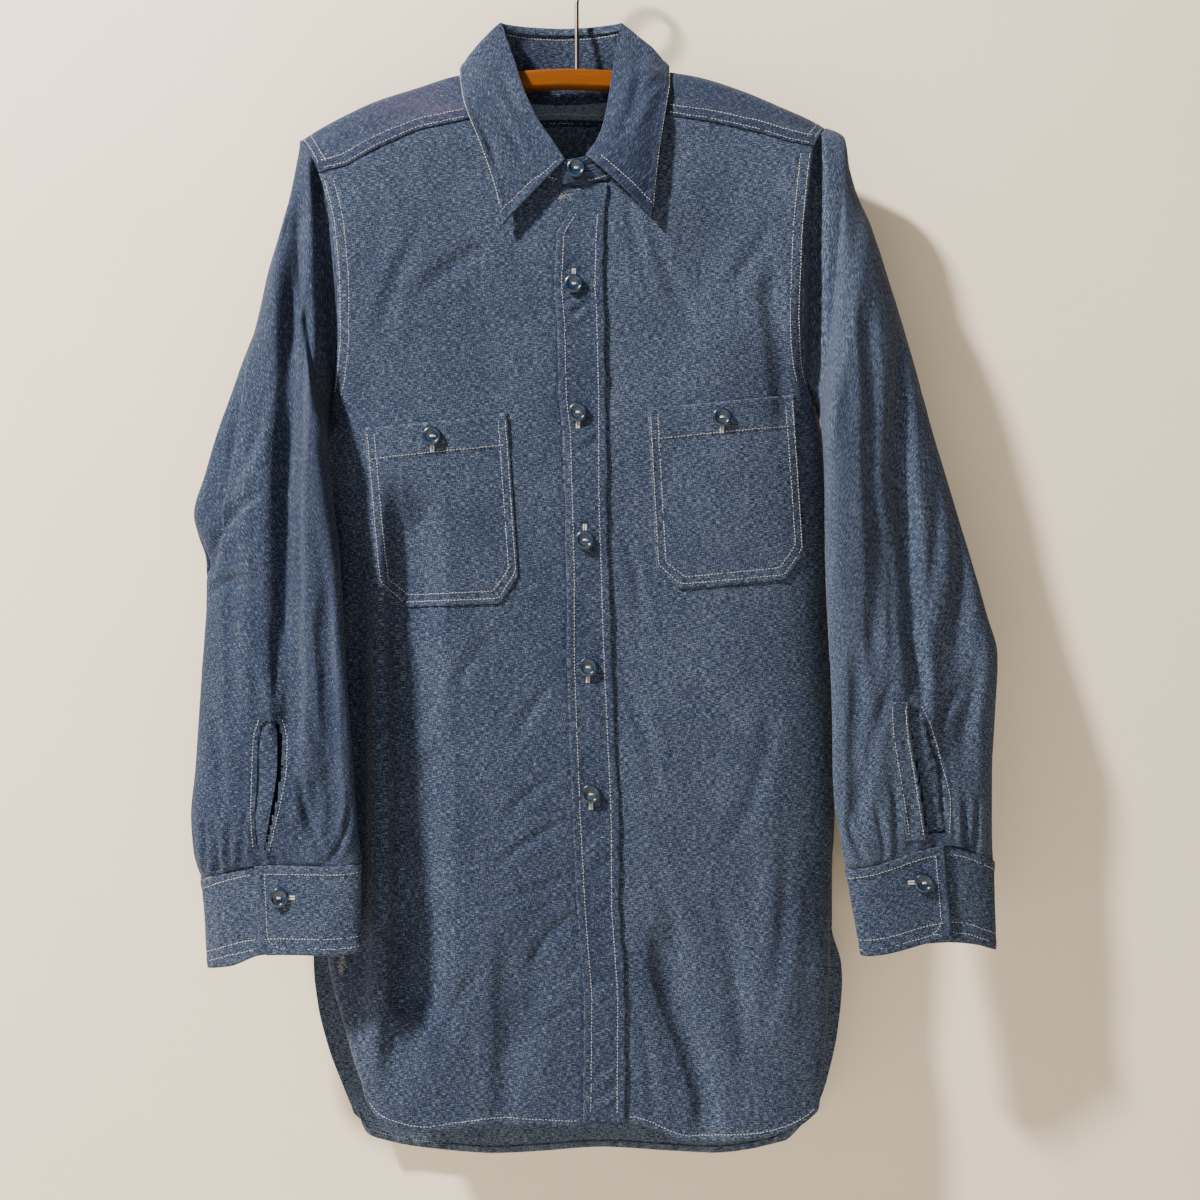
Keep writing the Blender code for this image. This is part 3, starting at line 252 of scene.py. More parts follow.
SLEEVE_BACK_FOLDS = {
    RIGHT: columns("x down to_x to_down width depth", (
        (-215, 260, -235, 560, 12, 5), (-262, 480, -240, 700, 12, 4))),
    LEFT: columns("x down to_x to_down width depth", (
        (210, 260, 240, 560, 12, 5), (285, 470, 262, 700, 12, 4)))}

# front placket: its free edge and the edge that is sewn down
PLACKET = columns("down free sewn", (
    (216, 7, 23.5), (251, -15, 21), (291, -17, 20), (320, -14.5, 21.5), (380, -13, 23),
    (406, -10, 23), (455, -8.5, 23), (520, -7, 25), (580, -7, 27), (688, -3, 32),
    (709, -2, 32.5), (774, 1.5, 33), (838, 6.5, 37.5), (938, 5.5, 37)))
PLACKET_END = 936.5

# pockets: corners as x and down, and how much of the depth each column reaches
POCKET_CORNERS = {
    RIGHT: ((-163.8, 401), (-53, 390), (-151, 540), (-43, 536)),
    LEFT: ((55.4, 386), (169.3, 374.5), (63, 527), (178.5, 517))}
POCKET_REACH = columns("across reach", (
    (0, 0.88), (0.14, 1), (0.32, 1), (0.5, 1), (0.68, 1), (0.86, 1), (0.93, 0.93), (1, 0.86)))

# sleeve slits: free edge of the lap and outer edge of the underlap
SLIT = {
    RIGHT: columns("down lap under", (
        (622, -226, -238), (640, -221, -243), (660, -220, -244), (690, -225, -244.5), (726, -234, -243))),
    LEFT: columns("down lap under", (
        (612, 254, 262), (632, 255, 271), (658, 259, 279), (690, 264, 286), (716, 268, 285)))}

# buttons: middle as x and down
FRONT_BUTTONS = columns("x down", (
    (-1.4, 291.0), (1.6, 389.9), (7.0, 488.0), (9.3, 585.4), (11.6, 682.7)))
NECK_BUTTON = (0.2, 201.8)
POCKET_BUTTONS = {RIGHT: (-110.5, 408.1), LEFT: (112.2, 393.5)}
CUFF_BUTTONS = {RIGHT: (-223.5, 758.5), LEFT: (266.0, 750.0)}

# listed creases: troughs with a soft shoulder beside them; bend is the bow of the line
FRONT_CREASES = columns("x down to_x to_down bend width depth", (
    (-61, 740, -4, 703, 4, 3.4, 0.9), (-66, 767, 0, 742, -3, 4.0, 0.55), (-37, 820, 1, 775, 5, 4.2, 1.0),
    (-33, 868, 4, 846, 3, 2.6, 0.7), (-6, 824, 1, 815, 0, 2.2, 0.9), (-52, 700, -20, 672, 2, 4.0, 0.8),
    (-157, 455, -155, 885, 3, 9.0, -4.5), (-104, 880, -74, 818, 4, 5.0, 0.9),
    (-140, 860, -126, 760, 4, 6.0, 1.2),
    (-120, 300, -70, 262, 4, 6.0, 0.8), (-150, 330, -120, 250, 5, 6.0, 0.9),
    (-60, 262, -26, 292, 2, 4.0, 0.7), (-90, 600, -60, 560, 4, 6.0, 0.8), (-45, 640, -18, 600, 3, 4.0, 0.9),
    (40, 215, 62, 300, -4, 5.0, 0.9), (55, 230, 95, 330, -5, 6.0, 0.9), (120, 300, 150, 250, 3, 6.0, 0.8),
    (36, 480, 52, 560, 3, 4.0, 0.8), (40, 600, 60, 680, 4, 5.0, 0.9), (90, 600, 140, 660, 5, 6.0, 0.7),
    (150, 620, 120, 720, 6, 7.0, 1.0), (60, 740, 84, 830, 4, 6.0, 1.1), (110, 760, 128, 900, 4, 7.0, 1.3),
    (160, 720, 150, 850, 5, 6.0, 1.2), (50, 860, 60, 930, 2, 4.0, 1.0), (84, 870, 100, 930, 3, 4.0, 0.9)))
BACK_CREASES = columns("x down to_x to_down bend width depth", (
    (-120, 260, -60, 330, 6, 7.0, 1.0), (-20, 220, -34, 420, 6, 8.0, 1.1), (60, 240, 44, 430, -6, 8.0, 1.0),
    (120, 280, 90, 400, 6, 7.0, 0.9), (-90, 520, -130, 700, 8, 8.0, 1.2), (10, 560, 40, 760, -8, 9.0, 1.1),
    (110, 560, 140, 760, 8, 8.0, 1.2), (-40, 780, -60, 930, 5, 7.0, 1.2), (60, 820, 66, 950, 4, 7.0, 1.1),
    (-120, 800, -100, 940, 5, 7.0, 1.0), (130, 820, 120, 940, -5, 7.0, 1.0),
    (-150, 420, -120, 470, 4, 5.0, 0.9)))
SLEEVE_CREASES = {
    RIGHT: columns("x down to_x to_down bend width depth", (
        (-207, 667, -190, 722, -4, 2.6, 1.6), (-167, 685, -184, 731, 3, 2.8, 1.4),
        (-276, 705, -272, 745, 1, 2.4, 1.3), (-262, 700, -264, 742, -1, 2.2, 1.1),
        (-250, 690, -256, 738, 1, 2.0, 1.0),
        (-286, 700, -284, 744, 1, 2.2, 1.0), (-285, 500, -246, 455, 5, 5.0, 1.4),
        (-290, 530, -250, 520, 4, 5.0, 1.2),
        (-262, 560, -240, 610, 3, 4.0, 1.0), (-230, 560, -228, 612, 1, 3.0, 1.1),
        (-240, 380, -262, 440, 4, 5.0, 1.1),
        (-196, 480, -186, 600, 4, 5.0, 1.1), (-200, 620, -192, 660, 2, 4.0, 0.9),
        (-280, 620, -270, 690, 3, 5.0, 1.0))),
    LEFT: columns("x down to_x to_down bend width depth", (
        (269, 616, 282, 664, -2, 1.6, 1.3), (282, 664, 286, 712, -1.5, 1.6, 1.3),
        (207, 700, 220, 731, -2, 2.6, 1.5), (228, 690, 236, 736, 2, 2.4, 1.2),
        (240, 668, 246, 722, 2, 2.4, 1.0),
        (300, 690, 298, 738, 1, 2.6, 1.3), (312, 684, 310, 740, -1, 2.4, 1.1),
        (290, 700, 292, 740, 1, 2.2, 1.0),
        (258, 560, 266, 620, 3, 4.0, 1.2), (232, 470, 240, 590, 4, 5.0, 1.1),
        (280, 450, 262, 560, 5, 6.0, 1.2),
        (222, 620, 218, 690, 3, 5.0, 1.1), (310, 560, 300, 640, 4, 5.0, 1.1),
        (250, 330, 240, 420, 4, 6.0, 1.1),
        (230, 640, 240, 600, 2, 4.0, 0.9), (276, 640, 300, 600, 3, 4.0, 0.8)))}
SLEEVE_BACK_CREASES = {
    RIGHT: columns("x down to_x to_down bend width depth", (
        (-210, 300, -230, 400, 5, 6.0, 1.2), (-280, 450, -240, 480, 4, 5.0, 1.4),
        (-240, 540, -230, 650, 4, 5.0, 1.1),
        (-270, 600, -266, 720, 3, 4.0, 1.2), (-200, 620, -210, 720, 3, 4.0, 1.1))),
    LEFT: columns("x down to_x to_down bend width depth", (
        (210, 280, 226, 380, 5, 6.0, 1.2), (300, 540, 260, 560, 4, 5.0, 1.3),
        (250, 560, 240, 660, 4, 5.0, 1.1),
        (290, 620, 286, 720, 3, 4.0, 1.2), (230, 640, 224, 716, 3, 4.0, 1.1)))}
COLLAR_CREASES = columns("x down to_x to_down bend width depth", (
    (-84, 128, -50, 168, 4, 2.6, 1.2), (-70, 150, -40, 196, 3, 3.4, 1.0),
    (-74, 168, -62, 200, 2, 2.6, 0.9), (-66, 112, -48, 150, 2, 4.0, 0.8),
    (62, 130, 44, 168, -2, 3.5, 1.0), (58, 120, 36, 180, -3, 4.0, 0.9), (50, 100, 44, 150, 2, 4.0, 0.8)))

# deep one-sided folds: the cloth sinks over the ramp and comes back over the rise
FRONT_VALLEYS = columns("x down to_x to_down ramp floor rise depth", (
    (-139, 480, -136, 660, 12, 14, 26, 12.0), (-136, 660, -134, 840, 12, 16, 28, 13.0),
    (-134, 840, -142, 880, 14, 10, 24, 6.0), (-54, 812, -58, 915, 12, 2, 16, 3.0),
    (64, 815, 96, 920, 10, 4, 18, 5.0), (150, 300, 158, 380, 12, 2, 12, 3.0)))
SLEEVE_VALLEYS = {
    RIGHT: columns("x down to_x to_down ramp floor rise depth", (
        (-199, 196, -192, 352, 9, 4, 6, 12.0), (-223, 250, -218, 330, 14, 4, 10, 6.0),
        (-218, 330, -219, 470, 14, 7, 9, 8.5), (-219, 470, -219, 625, 14, 7, 9, 9.0),
        (-190, 560, -184, 690, 8, 3, 8, 4.0), (-266, 420, -262, 600, 10, 2, 12, 3.0))),
    LEFT: columns("x down to_x to_down ramp floor rise depth", (
        (186, 190, 184, 345, 8, 4, 6, 11.0), (248, 395, 258, 590, 10, 4, 12, 5.0),
        (222, 330, 228, 560, 10, 2, 10, 4.0), (296, 470, 300, 640, 12, 2, 12, 3.0),
        (213, 600, 212, 690, 8, 2, 8, 3.5)))}

# edge of the front layer over the elbow's back layer on the right sleeve
ELBOW_EDGE = (-251, 331, -278, 506)

# small holes and ink spots, as x, down and radius; the collar's is in its own flat coordinates
COLLAR_SPOT = (10.5, 41.0, 2.2)
SPECKS = columns("x down radius", (
    (-73.9, 171.3, 2.2), (-73.2, 261.5, 1.3), (-78.5, 278.5, 1.0), (-98.8, 641.6, 1.3),
    (149.5, 509.5, 1.2), (159.4, 547.5, 1.0)))




def between(knots, values, at):
    """Values on a smooth line through the knots that never swings past them."""
    steps = np.diff(knots)
    rises = np.diff(values, axis=0) / steps.reshape((-1,) + (1,) * (values.ndim - 1))
    slopes = np.zeros_like(values)
    slopes[0] = rises[0]
    slopes[-1] = rises[-1]
    if len(knots) > 2:
        product = rises[:-1] * rises[1:]
        total = rises[:-1] + rises[1:]
        safe = np.where(np.abs(total) < 1e-12, 1.0, total)
        slopes[1:-1] = np.where(product > 0, 2 * product / safe, 0.0)
    at = np.asarray(at, dtype=float)
    index = np.clip(np.searchsorted(knots, at) - 1, 0, len(steps) - 1)
    step = steps[index]
    part = np.clip((at - knots[index]) / step, 0.0, 1.0)
    if values.ndim > 1:
        extra = (1,) * (values.ndim - 1)
        step = step.reshape(step.shape + extra)
        part = part.reshape(part.shape + extra)
    start = values[index] * (1 + 2 * part) * (1 - part) ** 2
    end = values[index + 1] * part ** 2 * (3 - 2 * part)
    lean = slopes[index] * part * (1 - part) ** 2 - slopes[index + 1] * part ** 2 * (1 - part)
    return start + end + lean * step


def read(table, key, column, at):
    """A column of a table at places of its key column, on a smooth line."""
    return between(table[key], table[column], at)


def beside_line(x, down, x0, down0, x1, down1):
    """How far along a line and how far to its side each place lies, and the line's length."""
    run = math.hypot(x1 - x0, down1 - down0)
    along = ((x - x0) * (x1 - x0) + (down - down0) * (down1 - down0)) / run
    across = ((x - x0) * (down1 - down0) - (down - down0) * (x1 - x0)) / run
    return along, across, run


def fold_depth(folds, x, down):
    """How far the folds push the cloth in at each place of the front view."""
    total = np.zeros(np.broadcast(x, down).shape)
    rows = zip(folds["x"], folds["down"], folds["to_x"], folds["to_down"], folds["width"], folds["depth"])
    for x0, down0, x1, down1, width, depth in rows:
        along, across, run = beside_line(x, down, x0, down0, x1, down1)
        past_end = np.maximum(np.maximum(-along, along - run), 0.0)
        fade = np.clip(np.minimum(along, run - along) / (FOLD_FADE * run), 0.0, 1.0)
        share = FOLD_END_SHARE + (1.0 - FOLD_END_SHARE) * fade
        total = total + depth * share * np.exp(-(across / width) ** 2 - (past_end / (FOLD_TAIL * width)) ** 2)
    return total


def edge_x(share, down, layer):
    """Where the armhole or side seam of that side lies."""
    column = "front" if layer == FRONT else "back"
    right = read(SIDE_EDGE[RIGHT], "down", column, down)
    left = read(SIDE_EDGE[LEFT], "down", column, down)
    return np.where(np.asarray(share) < 0, right, left)


def body_x(share, down, layer):
    """How far to the right a share of the front's or back's width lies at a height."""
    middle = read(MIDDLE, "down", "x", down)
    return middle + np.abs(share) * (edge_x(share, down, layer) - middle)


def body_y(x, down, share, layer):
    """How far the front or back stands off the shoulder ridge's plane."""
    column = "front" if layer == FRONT else "back"
    root = np.sqrt(np.maximum(down - read(RIDGE, "x", "down", x), 0.0))
    kept = read(EDGE_SHARE, "down", column, down)
    squareness = np.sqrt(np.maximum(1.0 - np.abs(share) ** BODY_SQUARENESS, 0.0))
    reach = read(DEPTH, "root", column, root) * (kept + (1.0 - kept) * squareness)
    folds = FRONT_FOLDS if layer == FRONT else BACK_FOLDS
    settled = np.clip(reach / FOLD_FULL_REACH, 0.0, 1.0)
    return layer * (SIDE_SEAM_GAP + reach - settled * fold_depth(folds, x, down))


def body_at_down(share, down, layer):
    """Points of the front or back at a share of the width and a height."""
    share, down = np.broadcast_arrays(np.asarray(share, float), np.asarray(down, float))
    x = body_x(share, down, layer)
    return np.stack([x, body_y(x, down, share, layer), down], axis=-1)


def body_at_root(share, root):
    """Points near the shoulder ridge; the root is negative in front of the ridge."""
    share, root = np.broadcast_arrays(np.asarray(share, float), np.asarray(root, float))
    layer = np.where(root < 0, FRONT, BACK)
    down = 150.0 + root ** 2
    for _ in range(4):
        x = np.where(layer == FRONT, body_x(share, down, FRONT), body_x(share, down, BACK))
        down = read(RIDGE, "x", "down", x) + root ** 2
    front = read(DEPTH, "root", "front", np.abs(root))
    back = read(DEPTH, "root", "back", np.abs(root))
    y = np.where(root < 0, -front, back)
    return np.stack([x, y, down], axis=-1)


def root_of(share, down):
    """Root of the drop below the ridge for a place on the front, as a negative number."""
    x = body_x(share, down, FRONT)
    return -np.sqrt(np.maximum(down - read(RIDGE, "x", "down", x), 0.0))


def neck_stations():
    """Half rows of the neck table, and more of them where the seam crosses the shoulder ridge."""
    last = len(NECK["share"]) - 1
    return np.sort(np.concatenate([np.linspace(0, last, 2 * last + 1), NECK_RIDGE_STATIONS]))


def neck_seam():
    """The neck seam's share, root and lift at its stations."""
    rows = np.arange(len(NECK["share"]), dtype=float)
    return {name: between(rows, values, neck_stations()) for name, values in NECK.items()}


def front_top(side, shares):
    """Height of a front's upper edge: the neckline, then the seam to the yoke."""
    seam = YOKE_SEAM[side]
    neck_share, neck_root = neckline(side)
    root = np.interp(shares, neck_share, neck_root)
    top = body_at_root(side * shares, root)[..., 2]
    yoke_line = np.interp(shares, seam["share"], seam["down"])
    return np.where(shares < seam["share"][0], top, yoke_line)


def neckline(side):
    """Share and root of one front's neckline, from the placket to the yoke's corner."""
    in_front = (NECK["root"] < NECK_CORNER_ROOT) & (side * NECK["share"] >= 0)
    order = np.argsort(side * NECK["share"][in_front])
    corner = YOKE_SEAM[side]["share"][0]
    corner_root = root_of(side * corner, YOKE_SEAM[side]["down"][0])
    share = np.concatenate([[0.0], side * NECK["share"][in_front][order], [corner]])
    root = np.concatenate([[NECK["root"][0]], NECK["root"][in_front][order], [corner_root]])
    return share, root


def armhole_loop(side, around):
    """The armhole seam: 0 and 1 at the shoulder tip, 0.5 under the arm."""
    around = np.asarray(around, float)
    in_front = around <= 0.5
    part = ring_part(around)
    tip = read(RIDGE, "x", "down", SIDE_EDGE[side]["front"][0])
    down = tip + (UNDERARM[side] - tip) * part ** ARMHOLE_BUNCHING
    front = body_at_down(np.full_like(down, side), down, FRONT)
    back = body_at_down(np.full_like(down, side), down, BACK)
    loop = np.where(in_front[..., None], front, back)
    loop[..., 0] += side * ARMHOLE_GAP
    return loop


def section(ends, around, squeeze=0.0):
    """One flattened ring: 0 and 1 at the outer edge, 0.5 at the inner edge, the front first."""
    around = np.mod(around, 1.0)
    in_front = around <= 0.5
    part = ring_part(around)
    part = 0.5 * part + 0.5 * (0.5 - 0.5 * np.cos(np.pi * part))
    outer = np.array([ends["out_x"], ends["out_y"], ends["out_down"]])
    inner = np.array([ends["in_x"], ends["in_y"], ends["in_down"]])
    along = (outer - inner) / np.linalg.norm(outer - inner)
    outer = outer - squeeze * along
    inner = inner + squeeze * along
    point = outer + part[..., None] * (inner - outer)
    depth = np.where(in_front, -ends["front"] + squeeze, ends["back"] - squeeze)
    fullness = np.sqrt(np.maximum(1.0 - np.abs(2 * part - 1) ** SLEEVE_SQUARENESS, 0.0))
    point[..., 1] += depth * fullness
    return point


def ring_part(around):
    """How far across a flattened ring a point lies, from 0 at its outer edge to 1 at its inner edge."""
    return np.where(around <= 0.5, 2 * around, 2 - 2 * around)


def rows_of(table):
    """The rows of a table, each with its columns by name."""
    count = len(table["out_x"])
    return [{name: values[index] for name, values in table.items()} for index in range(count)]


def arch(around, height):
    """Lift of a cuff's edge on its front, highest at the lap."""
    around = np.mod(around, 1.0)
    part = ring_part(around)
    bump = np.exp(-((part - 2 * CUFF_LAP) / ARCH_WIDTH) ** 2)
    bump = bump * np.sqrt(np.maximum(1 - np.abs(2 * part - 1) ** 4, 0))
    return np.where(around <= 0.5, height * bump, ARCH_BACK_SHARE * height * bump)


def sleeve_surface(side, around, row):
    """Points of a sleeve; row is 0 at the armhole and then counts the table's sections."""
    around = np.asarray(around, float)
    rings = [armhole_loop(side, around)]
    for ends in rows_of(SLEEVE[side]):
        rings.append(section(ends, around))
    rings[-1][..., 2] -= arch(around, CUFF_ARCH[side][0])
    rings = np.array(rings)
    hops = np.linalg.norm(np.diff(rings, axis=0), axis=-1).mean(axis=-1)
    knots = np.concatenate([[0.0], np.cumsum(hops)]) / hops.sum()
    along = np.interp(row, np.arange(len(knots)), knots)
    points = between(knots, rings, along)
    in_front = (np.mod(around, 1.0) <= 0.5)[None, :]
    front = fold_depth(SLEEVE_FOLDS[side], points[..., 0], points[..., 2])
    back = fold_depth(SLEEVE_BACK_FOLDS[side], points[..., 0], points[..., 2])
    part = ring_part(around)
    loose = np.clip(np.minimum(part, 1 - part) / SLEEVE_EDGE_FADE, 0.0, 1.0)[None, :]
    loose = loose * np.clip(along / ARMHOLE_FADE, 0.0, 1.0)[:, None]
    loose = loose * np.clip((1 - along) / CUFF_FADE, 0.0, 1.0)[:, None]
    points[..., 1] += loose * np.where(in_front, front, -back)
    return points


def moved_inside(line, across, distance):
    """The line moved off the strip that hangs from it, with mitred corners."""
    sides = np.cross(np.diff(line, axis=0), across[1:] + across[:-1])
    sides /= np.linalg.norm(sides, axis=-1, keepdims=True)
    sides = np.concatenate([sides[:1], sides, sides[-1:]])
    middle = sides[1:] + sides[:-1]
    middle /= np.linalg.norm(middle, axis=-1, keepdims=True)
    return line + distance * middle / np.sum(middle * sides[1:], axis=-1, keepdims=True)




def placket_edge(name, down):
    """Where the placket's free or sewn edge runs at a height."""
    return np.interp(down, PLACKET["down"], PLACKET[name])


def yoke_back_root(share, rise=0.0):
    """Root of the drop at the yoke's seam on the back, or at a line some way above it."""
    return np.sqrt(YOKE_BACK_DROP - YOKE_BACK_RISE * share ** 2 - rise)


# ---------------------------------------------------------------- uneven lines and creases

def smooth_step(value):
    """A soft step from 0 to 1."""
    value = np.clip(value, 0.0, 1.0)
    return value * value * (3 - 2 * value)


def uneven(at, spacing, seed):
    """A smooth line from -1 to 1 that wanders about once in each spacing."""
    knots = np.random.default_rng(seed).uniform(-1, 1, 997)
    place = np.asarray(at, float) / spacing + 200.0
    index = np.floor(place).astype(int)
    part = smooth_step(place - index)
    return knots[index % 997] * (1 - part) + knots[(index + 1) % 997] * part


def dimples(x, down, size, seed):
    """Soft hills and hollows from -1 to 1, about one in each size."""
    knots = np.random.default_rng(seed).uniform(-1, 1, (211, 223))
    px = np.asarray(x, float) / size + 100.0
    pd = np.asarray(down, float) / size + 100.0
    ix = np.floor(px).astype(int)
    iy = np.floor(pd).astype(int)
    fx = smooth_step(px - ix)
    fy = smooth_step(pd - iy)
    near = knots[iy % 211, ix % 223] * (1 - fx) + knots[iy % 211, (ix + 1) % 223] * fx
    far = knots[(iy + 1) % 211, ix % 223] * (1 - fx) + knots[(iy + 1) % 211, (ix + 1) % 223] * fx
    return near * (1 - fy) + far * fy


def rumple(x, down, seed):
    """Washed cotton's small creases: thin troughs that wander between soft swells."""
    bent_x = x + 7 * dimples(x, down, 26, seed + 1)
    bent_down = down + 9 * dimples(x, down, 31, seed + 2)
    thin = 1 - np.abs(dimples(bent_x, 0.45 * bent_down, 13, seed + 3)) * 2.2
    swell = dimples(x, 0.5 * down, 34, seed + 4)
    fine = dimples(bent_x, 0.7 * bent_down, 6.5, seed + 5)
    return 0.55 * swell - 0.32 * np.maximum(thin, 0) ** 2 + 0.12 * fine


def creased(table, x, down):
    """How far the hand-placed creases push the cloth out."""
    total = np.zeros(np.broadcast(x, down).shape)
    names = ("x", "down", "to_x", "to_down", "bend", "width", "depth")
    for x0, down0, x1, down1, bend, width, depth in zip(*(table[name] for name in names)):
        along, across, run = beside_line(x, down, x0, down0, x1, down1)
        along = along / run
        inside = np.clip(along, 0, 1)
        across = across - bend * 4 * inside * (1 - inside)
        past = np.maximum(np.maximum(-along, along - 1), 0) * run
        strength = (0.25 + 0.75 * np.sin(np.pi * inside) ** 0.7) * np.exp(-(past / (2 * width)) ** 2)
        trough = -np.exp(-(across / width) ** 2)
        shoulder = 0.5 * np.exp(-((across - 1.9 * width) / (1.2 * width)) ** 2)
        shoulder = shoulder + 0.35 * np.exp(-((across + 2.1 * width) / (1.4 * width)) ** 2)
        total = total + depth * strength * (trough + shoulder)
    return total


def sunk(table, x, down):
    """How far the deep one-sided folds sink the cloth; the ramp lies on the viewer's left of each line."""
    total = np.zeros(np.broadcast(x, down).shape)
    names = ("x", "down", "to_x", "to_down", "ramp", "floor", "rise", "depth")
    for x0, down0, x1, down1, ramp, floor, rise, depth in zip(*(table[name] for name in names)):
        part = np.clip((down - down0) / (down1 - down0), 0, 1)
        across = x - (x0 + part * (x1 - x0)) - 1.5 * uneven(down, 40, 5)
        shape = smooth_step((across + ramp) / ramp) * (1 - smooth_step((across - floor) / rise))
        past = np.maximum(np.maximum(down0 - down, down - down1), 0)
        total = np.maximum(total, depth * shape * fading(past, 24))
    return total


def pucker(along, distance, spacing, reach, depth, seed):
    """Seam puckers: ripples across a seam that die away from it."""
    ripples = 0.6 * uneven(along, spacing, seed) + 0.4 * uneven(along, 0.45 * spacing, seed + 1)
    return depth * ripples * np.exp(-np.abs(distance) / reach)


def band(distance, width, height, soft=0.8):
    """The step of a turned and stitched edge: raised from the edge to the width."""
    return height * smooth_step((width - distance) / soft + 0.5)


def fading(distance, reach):
    """1 on a line, falling softly to nothing beyond the reach."""
    return np.exp(-(distance / reach) ** 2)


def pair(first, second):
    """Two fields side by side, such as the cloth's flat coordinates."""
    return np.stack([first, second], axis=-1)


def sizes(lines):
    """Length of each row of coordinates."""
    return np.linalg.norm(lines, axis=-1)


def directions(lines):
    """Each row of coordinates brought to length one."""
    return lines / np.linalg.norm(lines, axis=-1, keepdims=True)


def in_metres(place):
    """A point of the millimetre tables as a place in the scene."""
    return Vector((place[0] * MM, place[1] * MM, -place[2] * MM))


# ---------------------------------------------------------------- making cloth

def put_in_scene(name, data):
    """A new object for a mesh, light or camera."""
    item = bpy.data.objects.new(name, data)
    bpy.context.scene.collection.objects.link(item)
    return item


def normals_of(grid, closed=False):
    """Directions square to the cloth at each point of its grid."""
    if closed:
        wrapped = np.concatenate([grid[:, -1:], grid, grid[:, :1]], axis=1)
        across = np.gradient(wrapped, axis=1)[:, 1:-1]
    else:
        across = np.gradient(grid, axis=1)
    along = np.gradient(grid, axis=0)
    normal = np.cross(along, across)
    return normal / np.maximum(np.linalg.norm(normal, axis=-1, keepdims=True), 1e-9)


def facing(normal, away):
    """Turn the whole field of normals to the side that away is on."""
    return normal * (1.0 if np.sum(normal * away) > 0 else -1.0)


def cloth_piece(name, grid, away, finish, amount, uv, wear=0.0, tint=0.0, closed=False,
                lips="", lip=CLOTH):
    """A shell of cloth through the grid, pushed out by amount; lips roll chosen edges in."""
    away = np.broadcast_to(away, grid.shape)
    normal = facing(normals_of(grid, closed), away)
    surface = grid + np.asarray(amount)[..., None] * normal
    normal = facing(normals_of(surface, closed), away)
    shape = grid.shape[:2]
    fields = {"wear": np.broadcast_to(wear, shape).astype(float),
              "tint": np.broadcast_to(tint, shape).astype(float)}
    fields["uv"] = np.array(uv, float)
    fields["place"] = surface
    fields["out"] = normal
    for edge in lips:
        axis = 0 if edge in "tb" else 1
        first = edge in "tl"
        at = 0 if first else -1

        def edge_row(field, axis=axis, at=at):
            return np.take(field, [at], axis=axis)

        place = edge_row(fields["place"])
        out = edge_row(fields["out"])
        index = 1 if first else -2
        inner = np.take(fields["place"], [index], axis=axis)
        inward = inner - place
        inward = inward / np.maximum(np.linalg.norm(inward, axis=-1, keepdims=True), 1e-9)
        rolls = [place - 0.35 * lip * out - 0.2 * lip * inward, place - 0.8 * lip * out,
                 place - lip * out + 5 * inward]
        added = {"place": rolls, "out": [out] * 3}
        for key in ("wear", "tint"):
            added[key] = [edge_row(fields[key])] * 3
        onward = edge_row(fields["uv"]) - np.take(fields["uv"], [index], axis=axis)
        onward = onward / np.maximum(np.linalg.norm(onward, axis=-1, keepdims=True), 1e-9)
        added["uv"] = [edge_row(fields["uv"]) + reach * onward for reach in (0.4, 1.0, 6.0)]
        for key in fields:
            pieces = added[key][::-1] + [fields[key]] if first else [fields[key]] + added[key]
            fields[key] = np.concatenate(pieces, axis=axis)
    rows, cols = fields["place"].shape[:2]
    places = fields["place"].reshape(-1, 3) * MM
    places[:, 2] *= -1.0
    row_at, col_at = np.meshgrid(np.arange(rows - 1), np.arange(cols if closed else cols - 1), indexing="ij")
    nxt = (col_at + 1) % cols
    faces = np.stack([row_at * cols + col_at, row_at * cols + nxt,
                      (row_at + 1) * cols + nxt, (row_at + 1) * cols + col_at], axis=-1).reshape(-1, 4)
    outward = fields["out"].reshape(-1, 3) * (1, 1, -1)
    turn = np.cross(places[faces[:, 1]] - places[faces[:, 3]], places[faces[:, 2]] - places[faces[:, 0]])
    if np.sum(turn * outward[faces[:, 0]]) < 0:
        faces = faces[:, ::-1]
    mesh = bpy.data.meshes.new(name)
    mesh.from_pydata(places.tolist(), [], faces.tolist())
    layer = mesh.uv_layers.new(name="cloth")
    corner = np.zeros(len(mesh.loops), dtype=np.int32)
    mesh.loops.foreach_get("vertex_index", corner)
    layer.data.foreach_set("uv", (fields["uv"].reshape(-1, 2)[corner] * MM).ravel())
    for key in ("wear", "tint"):
        attribute = mesh.attributes.new(key, "FLOAT", "POINT")
        attribute.data.foreach_set("value", fields[key].ravel())
    mesh.shade_smooth()
    mesh.materials.append(finish)
    return put_in_scene(name, mesh)


def tree_of(*items):
    """The shape of finished pieces, to lay other pieces and stitches on."""
    points = []
    faces = []
    for item in items:
        start = len(points)
        points += [vertex.co.copy() for vertex in item.data.vertices]
        faces += [tuple(start + index for index in face.vertices) for face in item.data.polygons]
    return BVHTree.FromPolygons(points, faces)


def laid_on(tree, x, down, lift, layer=FRONT):
    """Points laid on the pieces in the tree, at places of the front or back view."""
    x, down, lift = np.broadcast_arrays(*(np.asarray(values, float) for values in (x, down, lift)))
    points = np.zeros(x.shape + (3,))
    for index in np.ndindex(x.shape):
        start = Vector((x[index] * MM, layer * RAY_START, -down[index] * MM))
        hit = tree.ray_cast(start, Vector((0, -layer, 0)))[0]
        if hit is None:
            hit = tree.find_nearest(Vector((x[index] * MM, layer * OUTSIDE, -down[index] * MM)))[0]
        points[index] = (x[index], hit.y / MM + layer * lift[index], down[index])
    return points


